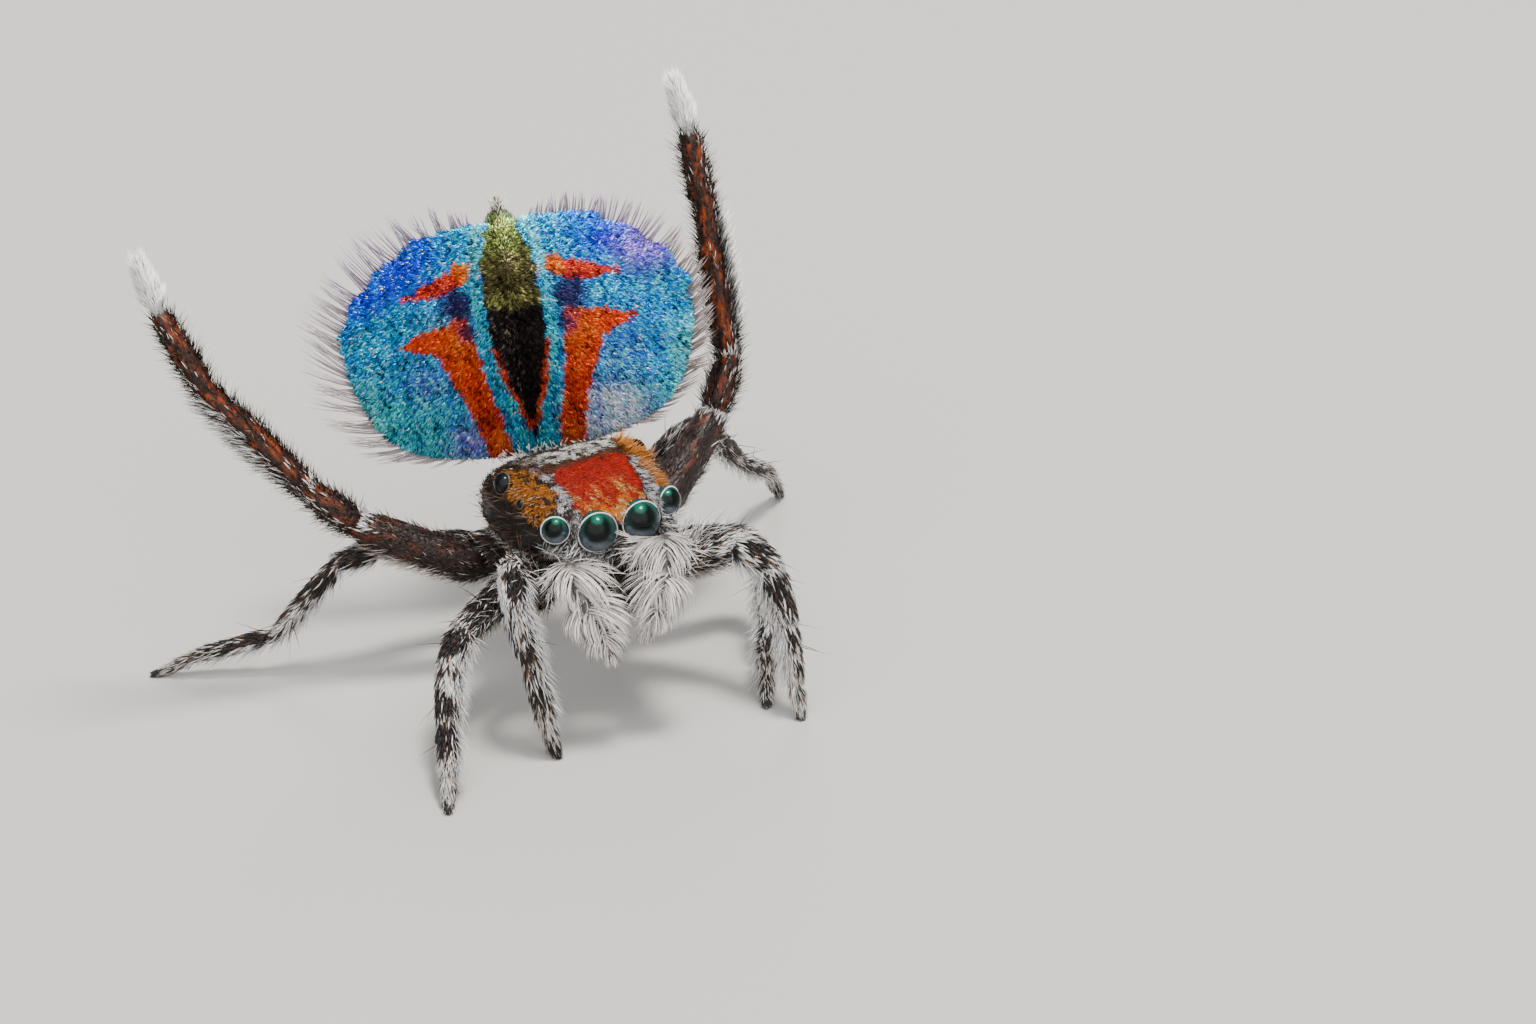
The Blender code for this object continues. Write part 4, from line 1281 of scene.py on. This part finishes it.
abdomenRows = (
    (0.02, 0.10, 0.05, 0.26),
    (0.12, 0.24, -0.03, 0.40),
    (0.50, 0.40, -0.07, 0.66),
    (1.05, 0.47, -0.08, 0.82),
    (1.60, 0.45, -0.08, 0.78),
    (2.05, 0.31, -0.07, 0.58),
    (2.36, 0.16, -0.05, 0.36),
    (2.46, 0.08, -0.01, 0.22),
)
flapRim = (
    (0.27, 2.42),
    (0.60, 2.38),
    (0.92, 2.28),
    (1.22, 2.09),
    (1.48, 1.86),
    (1.64, 1.58),
    (1.68, 1.28),
    (1.62, 0.97),
    (1.50, 0.64),
    (1.27, 0.36),
    (0.98, 0.21),
    (0.65, 0.13),
    (0.36, 0.09),
)
flap = {"curl": 0.16, "reach": 1.68, "halfThick": 0.030, "wave": 0.012, "lump": 0.065}
spinneretRows = ((0.0, 0.11, 2.40), (0.0, 0.10, 2.50), (0.0, 0.095, 2.58), (0.0, 0.09, 2.63))
spinneretRadii = (0.06, 0.055, 0.05, 0.02)
fanColour = {
    "blue": (0.006, 0.20, 0.50),
    "upperBlue": (0.005, 0.10, 0.66),
    "rimBlue": (0.006, 0.022, 0.66),
    "patchBlue": (0.010, 0.10, 0.50),
    "footTeal": (0.016, 0.30, 0.40),
    "footGreen": (0.04, 0.44, 0.20),
    "edgeGreen": (0.10, 0.52, 0.32),
    "brightBlue": (0.006, 0.17, 0.95),
    "violet": (0.17, 0.12, 0.66),
    "indigo": (0.10, 0.16, 0.62),
    "lilac": (0.58, 0.62, 1.0),
    "lilacGlint": (0.85, 0.95, 1.0),
    "besideLilac": (0.26, 0.24, 0.95),
    "corner": (0.24, 0.10, 0.92),
    "paleBlue": (0.22, 0.38, 0.62),
    "fire": (0.74, 0.034, 0.007),
    "fireShade": (0.16, 0.012, 0.004),
    "fireFoot": (0.86, 0.060, 0.012),
    "fireOrange": (0.68, 0.080, 0.010),
    "upperFire": (0.52, 0.022, 0.014),
    "upperOrange": (0.62, 0.085, 0.011),
    "navy": (0.016, 0.014, 0.060),
    "band": (0.020, 0.30, 0.52),
    "paleBand": (0.12, 0.44, 0.48),
    "border": (0.50, 0.035, 0.010),
    "middle": (0.008, 0.006, 0.006),
    "middleFleck": (0.10, 0.085, 0.07),
    "olive": (0.055, 0.050, 0.018),
    "oliveSpeck": (0.13, 0.14, 0.04),
    "upperOlive": (0.085, 0.115, 0.028),
    "oliveEdge": (0.13, 0.20, 0.055),
    "oliveTip": (0.17, 0.25, 0.12),
    "footEdge": (0.55, 0.60, 0.66),
    "back": (0.10, 0.075, 0.055),
    "paleBack": (0.26, 0.22, 0.18),
}
# Widths by height: the red stripe's two edges, the cyan band's middle and half of the dark middle stripe
stripeInner = ((0.0, 0.20), (0.25, 0.24), (0.6, 0.30), (0.9, 0.37), (1.2, 0.40), (1.36, 0.44))
stripeOuter = ((0.0, 0.44), (0.25, 0.47), (0.6, 0.56), (0.9, 0.68), (1.15, 0.78))
stripeOuter += ((1.22, 0.98), (1.30, 1.16), (1.40, 0.84), (1.46, 0.60), (1.52, 0.42))
bandCentre = ((0.1, 0.09), (0.3, 0.11), (0.6, 0.17), (1.0, 0.26), (1.36, 0.31))
bandCentre += ((1.8, 0.32), (2.2, 0.27), (2.5, 0.15))
middleHalf = ((0.30, 0.0), (0.42, 0.02), (0.8, 0.14), (1.3, 0.245), (1.6, 0.25))
middleHalf += ((2.0, 0.235), (2.2, 0.18), (2.45, 0.10), (2.6, 0.04))


def abdomenGrid():
    rings = []
    for height, halfWidth, front, back in resampled(abdomenRows, 110):
        across, depth = superRing(max(halfWidth - 0.02, 0.02), front + 0.015, back - 0.03, 90, 2.5)
        rings.append(columns(across, depth, height))
    local = np.array(rings)
    facing = 1 - ramp(local[..., 1], 0.08, 0.20)
    local = np.concatenate([local, facing[..., None]], axis=-1)
    return gridOf(fanToStance(local[..., :3]), local, (0.02, 0.02, 0.30, 0.98), fanPaint)


def flapBend(x):
    return -flap["curl"] * (x / flap["reach"]) ** 2


def flapGrid(side):
    # A thin closed plate: rows run from the body out to the rim, and each ring goes round its edge
    sign = 1 if side == "left" else -1
    rim = resampled(flapRim, 150)
    along = np.linspace(0, 1, 150)
    lump = flap["lump"] * np.abs(np.sin(along * 33)) * (1 - ramp(along, 0.42, 0.52)) * ramp(along, 0.05, 0.1)
    rim = rim + unit(rim - np.array((0.0, 1.2))) * (lump - 0.012)[:, None]
    rootHeight = np.clip(1.25 + (rim[:, 1] - 1.25) * 0.98, 0.10, 2.40)
    share = np.linspace(0, 1, 60)[:, None]
    x = 0.05 + (rim[:, 0] - 0.05) * share
    z = rootHeight + (rim[:, 1] - rootHeight) * share
    y = flapBend(x) + flap["wave"] * np.sin(z * 9 + x * 5) * ramp(x, 0.8, 1.5)
    thick = flap["halfThick"] * (1 - 0.75 * ramp(x / np.maximum(rim[:, 0], 0.1), 0.8, 1.0))
    front, back = columns(sign * x, y - thick, z, 1.0), columns(sign * x, y + thick, z, 0.0)
    local = np.concatenate([front, back[:, ::-1]], axis=1)
    low = 0.34 if side == "left" else 0.68
    grid = gridOf(fanToStance(local[..., :3]), local, (low, 0.02, low + 0.30, 0.98), fanPaint)
    grid["zipped"] = True
    return grid


def sequence(x, table):
    return np.interp(x, [row[0] for row in table], [row[1] for row in table])


def blob(out, t, centre, size):
    return hump(out, centre[0], size[0]) * hump(t, centre[1], size[1])


def disc(out, t, centre, size):
    # A blob with a flatter middle and a clearer edge
    return np.exp(-((((out - centre[0]) / size[0]) ** 2 + ((t - centre[1]) / size[1]) ** 2) ** 2))


def fanColours(local):
    # The fan's pattern by distance from its middle line and height, kept apart for its two sides
    across, _, height = local.T[:3]
    flat = columns(across, height)
    edge = ripple(columns(across, height, 0.0), 0.09, 61) * 0.016
    wide = ripple(flat, 0.5, 62)
    speck = ripple(flat * (1, 0.5), 0.035, 63)
    lumps = ramp(ripple(flat, 0.24, 67), -0.5, 0.4)
    out, t, left = np.abs(across) + edge, height + edge, across > 0
    # Blue field with greens and violets towards the foot, and the lilac patch on the left
    rim = ramp(t + out * 0.45, 2.20, 2.55) * ramp(out, 0.5, 0.85) * (0.35 + 0.65 * lumps)
    patch = ramp(wide, 0.1, 0.9) * (1 - ramp(np.abs(t - 1.0), 0.2, 0.5)) * ramp(out, 0.6, 0.9) * 0.7
    teal = (1 - ramp(t, 0.6, 1.05)) * ramp(out, 0.6, 1.0) * np.where(left, 0.5, 1.0)
    green = (1 - ramp(t, 0.45, 0.9)) * ramp(out, 0.75, 1.2) * ramp(wide, -0.9, 0.2)
    green = green * np.where(left, 0.25, 0.9)
    edgeGreen = ramp(out, 1.22, 1.5) * (1 - ramp(t, 0.95, 1.35)) * np.where(left, 0.85, 0.35)
    lilac = blob(out, t, (0.74, 0.36), (0.30, 0.22)) * left
    glint = np.clip(lilac * 1.3, 0, 1) * ramp(wide, -0.2, 0.5) * 0.6
    paleBlue = blob(out, t, (0.62, 1.50), (0.2, 0.13)) * np.where(left, 0.2, 0.6)
    colours = layered(
        plain(len(out), fanColour["blue"]),
        fanColour,
        upperBlue=ramp(t, 1.55, 2.0) * ramp(out, 0.35, 0.8),
        rimBlue=rim,
        patchBlue=patch,
        footTeal=teal,
        footGreen=green,
        edgeGreen=edgeGreen,
        brightBlue=blob(out, t, (1.05, 1.05), (0.45, 0.5)) * left * 0.9,
        violet=blob(out, t, (0.62, 0.30), (0.22, 0.22)),
        indigo=blob(out, t, (0.92, 0.95), (0.25, 0.3)) * 0.55,
        lilac=lilac * 1.5,
        lilacGlint=glint,
        besideLilac=blob(out, t, (0.60, 0.46), (0.10, 0.22)) * left * 0.85,
        corner=blob(out, t, (1.30, 1.98), (0.26, 0.24)) * left,
        paleBlue=paleBlue,
    )
    # Red stripe from the foot up into the lower flame, and the upper flame in two patches
    lifted = t - np.where(left, 0.0, 0.06) * ramp(height, 0.9, 1.2)
    inner, outer = sequence(lifted, stripeInner), sequence(lifted, stripeOuter)
    stripe = window(out, inner - 0.012, inner + 0.012, outer - 0.015, outer + 0.015)
    stripe = stripe * (1 - ramp(lifted, 1.44, 1.50))
    orange = ramp(lifted, 0.9, 1.2) * (1 - ramp(out, 0.55, 0.85)) * 0.7
    rise = 1.80 + 0.16 * (0.75 - out) + 0.05 * (out < 0.5)
    taper = ramp(out, 0.55, 1.05)
    upper = 1 - ramp(np.abs(lifted - rise), 0.090 - 0.070 * taper, 0.110 - 0.078 * taper)
    upper = upper * window(out, 0.24, 0.28, 1.00, 1.08)
    large = disc(out, lifted, (0.51, 1.60), (0.215, 0.185))
    small = disc(out, lifted, (0.45, 1.33), (0.120, 0.120))
    colours = layered(
        colours,
        fanColour,
        fire=stripe,
        fireShade=stripe * blob(out, lifted, (0.40, 0.52), (0.09, 0.14)) * 0.7,
        fireFoot=stripe * (1 - ramp(lifted, 0.36, 0.40)),
        fireOrange=stripe * orange,
        upperFire=upper,
        upperOrange=upper * (1 - ramp(out, 0.46, 0.54)),
        navy=np.maximum(large, small * 0.9),
    )
    # Cyan band, thin red border and middle stripe, black below and olive above
    slim = 0.018 * ramp(t, 1.5, 1.9)
    band = 1 - ramp(np.abs(out - sequence(t, bandCentre)), 0.050 - slim, 0.075 - slim)
    half = sequence(t, middleHalf)
    border = (1 - ramp(out, half + 0.035, half + 0.055)) * window(t, 0.28, 0.34, 1.15, 1.25)
    middle = layered(
        plain(len(out), fanColour["middle"]),
        fanColour,
        middleFleck=ramp(speck, 0.2, 0.9) * ramp(-across, -0.02, 0.05) * 0.8,
        olive=ramp(t, 1.55, 1.62),
        oliveSpeck=window(t, 1.52, 1.60, 1.68, 1.78) * ramp(speck, -0.1, 0.7),
        upperOlive=ramp(t, 2.02, 2.16) * ramp(speck, -0.9, 0.0),
        oliveEdge=ramp(t, 1.95, 2.2) * ramp(out, half - 0.07, half - 0.02) * 0.8,
        oliveTip=ramp(t, 2.36, 2.48) * 0.4,
    )
    upperBand = band * ramp(t, 1.7, 2.1) * 0.6
    lowerBand = band * (1 - ramp(t, 2.30, 2.45))
    colours = layered(colours, fanColour, band=lowerBand, paleBand=upperBand, border=border)
    colours = mixed(colours, middle, 1 - ramp(out, half - 0.012, half + 0.012))
    return mixed(colours, fanColour["footEdge"], (1 - ramp(t, 0.12, 0.19)) * ramp(out, 0.5, 0.7) * 0.7)


def fanPaint(_, local):
    colours = fanColours(local)
    fine = ripple(local[:, :3], 0.1, 66)
    back = mixed(plain(len(local), fanColour["back"]), fanColour["paleBack"], ramp(fine, -0.4, 0.8))
    paleness = ramp(colours.min(axis=1), 0.25, 0.50)[:, None]
    return mixed(back, colours * (0.65 + 0.30 * paleness), local[:, 3])


abdomen = abdomenGrid()
flaps = {side: flapGrid(side) for side in ("left", "right")}
spinneret = tube(fanToStance(spinneretRows), spinneretRadii, 16, (0.31, 0.9, 0.335, 0.97), darkColours)
fanSkin = joinedGrids("fanSkin", [abdomen, *flaps.values(), spinneret], skinMaterial)
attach(fanSkin, "root")
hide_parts("abdomen", "flap_left", "flap_right", "spinnerets")


# Fan coat: small flat scales on the front, short hair on the back and long bristles round the rim

fanScale = {
    "flapCount": 32000,
    "middleCount": 20000,
    "length": 0.060,
    "width": 0.034,
    "lean": (5, 26),
    "turquoise": (0.02, 0.50, 0.62),
    "deepBlue": (0.02, 0.08, 0.85),
    "glint": (0.45, 0.85, 1.0),
    "orange": (0.80, 0.10, 0.008),
}
backHair = {
    "flap": {"count": 4200, "colours": ((0.14, 0.10, 0.07), (0.40, 0.35, 0.30)), "length": 0.09, "lean": 14},
    "body": {"count": 5200, "colours": ((0.12, 0.09, 0.06), (0.44, 0.40, 0.34)), "length": 0.11, "lean": 18},
}
fringe = {
    "bundles": 56,
    "each": 7,
    "width": (0.012, 0.018),
    "pale": (0.80, 0.74, 0.72),
    "lilac": (0.44, 0.34, 0.58),
    "leftShade": (0.40, 0.33, 0.31),
    "reach": {"right": 1.0, "left": 0.74},
}
# Length of the bristles by the share of the rim, from the top round to the foot
fringeLength = ((0.0, 0.10), (0.08, 0.28), (0.20, 0.42), (0.35, 0.47), (0.50, 0.48))
fringeLength += ((0.60, 0.50), (0.72, 0.49), (0.82, 0.40), (0.90, 0.20), (1.0, 0.03))
# White tufts at the top and the foot, which point away from the fan's middle
tufts = {
    "top": {
        "centre": (0.0, 0.08, 2.52),
        "size": (0.022, 0.03, 0.025),
        "splay": (4, 2, 0),
        "way": (0, -0.1, 0.6),
        "length": 0.12,
        "shade": (0.80, 0.78, 0.70),
    },
    "foot": {
        "centre": (-0.05, -0.10, 0.08),
        "size": (0.20, 0.02, 0.03),
        "splay": (0.8, 0, 0),
        "way": (-0.2, -0.5, 0.7),
        "length": 0.09,
        "shade": (0.74, 0.72, 0.70),
    },
}


def scaleStrands(places, chance):
    # Scales lie outwards and down over the fan, each with its own shade
    local = places["local"]
    x, z = local[:, 0], local[:, 2]
    colour = fanColours(local)
    count = len(colour)
    hue = chance.normal(0, 1, count)
    blue = (colour[:, 2] > colour[:, 0] * 1.6) & (colour[:, 2] > 0.2)
    turquoise = ramp(hue, 0.3, 1.6) * blue * 0.75 * ramp(colour[:, 1], 0.04, 0.16)
    colour = layered(
        colour,
        fanScale,
        turquoise=turquoise,
        deepBlue=ramp(-hue, 0.6, 1.8) * blue * 0.7,
        glint=(chance.uniform(size=count) < 0.06) * blue * 0.7,
    )
    fire = (colour[:, 0] > 0.4) & (colour[:, 2] < 0.1)
    colour = mixed(colour, fanScale["orange"], ramp(hue, 0.5, 1.6) * fire * 0.6)
    pale = ramp(colour.min(axis=1), 0.25, 0.50)[:, None]
    colour = colour * np.clip(chance.lognormal(0.14, 0.75, (count, 1)), 0.16, 2.6) ** (1 - 0.7 * pale)
    grains = ripple(columns(x, z * 1.4), 0.055, 68)[:, None]
    colour = colour * (1.10 + (0.60 - 0.40 * pale) * grains)
    outward = np.tanh(x * 6) * (0.25 + np.abs(x) * 0.6)
    way = fanWay(outward, 0.0, -0.35 + 0.45 * (z - 1.2))
    lean = chance.uniform(*fanScale["lean"], count)
    root, tip = np.clip(colour, 0, 0.95), np.clip(colour * 1.4, 0, 0.97)
    return hair(places, fanScale["length"], fanScale["width"], root, chance, lean, 0.0, way, tip, 0.5)


def makeFanScales():
    chance = np.random.default_rng(71)

    def flapFront(local):
        # No scales where the abdomen covers a flap
        covered = np.where(np.abs(local[:, 2] - 1.15) > 0.75, 0.03, 0.2)
        return (local[:, 3] > 0.9) * (np.abs(local[:, 0]) > covered) + 1e-9

    for side, grid in flaps.items():
        places = scattered(grid, fanScale["flapCount"], chance, flapFront)
        places["normal"] = unit(places["normal"] * 0.2 - fanTurn[:, 1])
        scales = [scaleStrands(places, chance)]
        coat(strands(f"fanScales_{side}", scales, scaleMaterial, rows=1, flat=0.35))
    places = scattered(abdomen, fanScale["middleCount"], chance, lambda local: (local[:, 3] > 0.3) + 1e-9)
    scales = [scaleStrands(places, chance)]
    coat(strands("fanScales_middle", scales, scaleMaterial, rows=1, flat=0.35))


def makeFanBack():
    chance = np.random.default_rng(72)

    def backColour(look):
        dark, pale = look["colours"]
        return mixed(plain(look["count"], dark), pale, chance.uniform(size=look["count"]))

    parts = []
    look = backHair["flap"]
    for grid in flaps.values():
        places = scattered(grid, look["count"], chance, lambda local: (local[:, 3] < 0.1) + 1e-9)
        places["normal"] = np.tile(fanTurn[:, 1], (look["count"], 1))
        way = fanWay(np.sign(places["local"][:, 0]), 0.0, -0.3)
        parts.append(hair(places, look["length"], 0.014, backColour(look), chance, look["lean"], 0.05, way))
    look = backHair["body"]
    places = scattered(abdomen, look["count"], chance, lambda local: (local[:, 3] < 0.5) + 1e-9)
    parts.append(hair(places, look["length"], 0.014, backColour(look), chance, look["lean"], 0.08))
    coat(strands("fanBackHair", parts, hairMaterial))


def rimBristles(side, chance):
    # Long pale bristles round the rim in loose bundles
    rim = resampled(flapRim, 400)
    sign = 1 if side == "left" else -1
    bundles = fringe["bundles"]
    count = bundles * fringe["each"]
    bundle = np.repeat(np.arange(bundles), fringe["each"])
    share = 0.014 + 0.95 * (bundle + chance.uniform(-0.42, 0.42, count)) / bundles
    share = np.clip(share, 0.004, 0.985)
    place = rim[(share * (len(rim) - 1)).astype(int)]
    away = unit(place - np.array((0.0, 0.45)))
    around = columns(away[:, 1], -away[:, 0])
    swing = chance.normal(0, 0.17, bundles)[bundle] + chance.normal(0, 0.035, count)
    swing = swing - 0.10 * (bundle / bundles - share) * bundles / 2
    way = unit(away + around * swing[:, None])
    depth = -0.16 + 0.14 * chance.normal(size=bundles)[bundle] + 0.05 * chance.normal(size=count)
    root = place - away * chance.uniform(0.0, 0.05, count)[:, None]
    length = sequence(share, fringeLength) * fringe["reach"][side] * chance.uniform(0.8, 1.05, count)
    length = (length * 1.1 + 0.05) * chance.uniform(0.85, 1.05, bundles)[bundle]
    upper = ramp(place[:, 1], 1.5, 2.1) * chance.uniform(0.3, 1, count)
    colour = mixed(plain(count, fringe["pale"]), fringe["lilac"], upper)
    if side == "left":
        lower = ramp(share, 0.28, 0.40)
        colour = mixed(colour, fringe["leftShade"], lower * 0.9)
        length = length * (1 - 0.22 * lower)
    colour = varied(colour, chance, 0.2)
    return strandPart(
        root=fanToStance(columns(sign * root[:, 0], flapBend(root[:, 0]) + 0.01, root[:, 1])),
        way=fanWay(sign * way[:, 0], depth, way[:, 1]),
        curl=fanWay(np.zeros(count), 0.05, 0.14),
        length=length,
        width=chance.uniform(*fringe["width"], count),
        colour=colour * (0.36, 0.31, 0.36),
        tip=colour * 0.74,
        uv=columns(0.36 if side == "left" else 0.7, share),
        normal=np.tile(-fanTurn[:, 1], (count, 1)),
    )


def tuft(look, chance, count=80):
    root = look["centre"] + chance.normal(size=(count, 3)) * look["size"]
    way = unit(root * look["splay"] + look["way"] + chance.normal(0, 0.25, (count, 3)))
    white = varied(plain(count, look["shade"]), chance, 0.2)
    return strandPart(
        root=fanToStance(root),
        way=way @ fanTurn.T,
        curl=np.zeros((count, 3)),
        length=look["length"] * chance.uniform(0.7, 1.1, count),
        width=np.full(count, 0.014),
        colour=white * 0.7,
        tip=white,
        uv=np.tile((0.32, 0.93), (count, 1)),
        normal=way[:, [1, 2, 0]] @ fanTurn.T,
    )


def makeFringe():
    chance = np.random.default_rng(73)
    parts = [rimBristles(side, chance) for side in ("left", "right")]
    parts += [tuft(look, chance) for look in tufts.values()]
    coat(strands("fanFringe", parts, hairMaterial, rows=3))


makeFanScales()
makeFanBack()
makeFringe()
print("fan made")


# Floor, lights and camera

lights = {
    "key": {"place": (0.014, 0.000, 0.085), "size": 0.022, "power": 0.125, "colour": (1.0, 0.96, 0.90)},
    "front": {"place": (-0.045, -0.085, 0.070), "size": 0.300, "power": 0.285, "colour": (1.0, 0.98, 0.96)},
    "fore": {"place": (-0.035, -0.065, 0.085), "size": 0.180, "power": 0.105, "colour": (1.0, 0.98, 0.95)},
    "fill": {"place": (0.070, -0.060, 0.030), "size": 0.200, "power": 0.048, "colour": (0.90, 0.95, 1.0)},
    "rim": {"place": (0.03, 0.07, 0.05), "size": 0.030, "power": 0.035, "colour": (1.0, 0.98, 0.95)},
}
lightAim = Vector((0, 0, 0.002))
skyColour = (0.92, 0.94, 1.0, 1)
skyStrength = 0.40
# Pixel is where the middle of the head falls in the picture, and scale is pixels per millimetre there
cameraView = {
    "azimuth": -25.0,
    "elevation": 27.0,
    "distance": 110.0,
    "scale": 105.0,
    "pixel": (620.7, 528.0),
    "picture": (1536, 1024),
    "sensor": 36.0,
}


def makeFloor():
    mesh = bpy.data.meshes.new("floor")
    corners = [(-0.4, -0.3), (0.4, -0.3), (0.4, 0.5), (-0.4, 0.5)]
    mesh.from_pydata([(x, y, -0.000002) for x, y in corners], [], [(0, 1, 2, 3)])
    mesh.materials.append(newMaterial("floor", {"Roughness": 0.8, "Base Color": (0.40, 0.388, 0.370, 1)})[0])
    floor = bpy.data.objects.new("floor", mesh)
    bpy.context.scene.collection.objects.link(floor)


def makeLights():
    for name, look in lights.items():
        light = bpy.data.lights.new(name, "AREA")
        light.shape = "DISK"
        light.size = look["size"]
        light.energy = look["power"]
        light.color = look["colour"]
        obj = bpy.data.objects.new(name, light)
        obj.location = look["place"]
        obj.rotation_euler = (lightAim - Vector(look["place"])).to_track_quat("-Z", "Y").to_euler()
        bpy.context.scene.collection.objects.link(obj)
    world = bpy.data.worlds.new("world")
    world.use_nodes = True
    sky = world.node_tree.nodes["Background"]
    sky.inputs["Color"].default_value = skyColour
    sky.inputs["Strength"].default_value = skyStrength
    bpy.context.scene.world = world


def makeCamera():
    azimuth, elevation = np.radians((cameraView["azimuth"], cameraView["elevation"]))
    scale, distance, sensor = cameraView["scale"], cameraView["distance"], cameraView["sensor"]
    pixel, picture = np.array(cameraView["pixel"]), np.array(cameraView["picture"])
    level = math.cos(elevation)
    right = np.array((math.cos(azimuth), math.sin(azimuth), 0.0))
    back = np.array((math.sin(azimuth) * level, -math.cos(azimuth) * level, math.sin(elevation)))
    above = np.cross(back, right)
    slide = (picture / 2 - pixel) / scale
    place = up * eyeHeight + shift + right * slide[0] - above * slide[1] + back * distance
    data = bpy.data.cameras.new("camera")
    data.sensor_width = sensor
    data.lens = sensor * distance * scale / picture[0]
    data.clip_start = 0.001
    data.clip_end = 10
    data.dof.use_dof = False
    camera = bpy.data.objects.new("camera", data)
    turn = Matrix(np.column_stack([right, above, back]).tolist()).to_4x4()
    camera.matrix_world = Matrix.Translation(Vector(place * mm)) @ turn
    bpy.context.scene.collection.objects.link(camera)
    bpy.context.scene.camera = camera


makeFloor()
makeLights()
makeCamera()
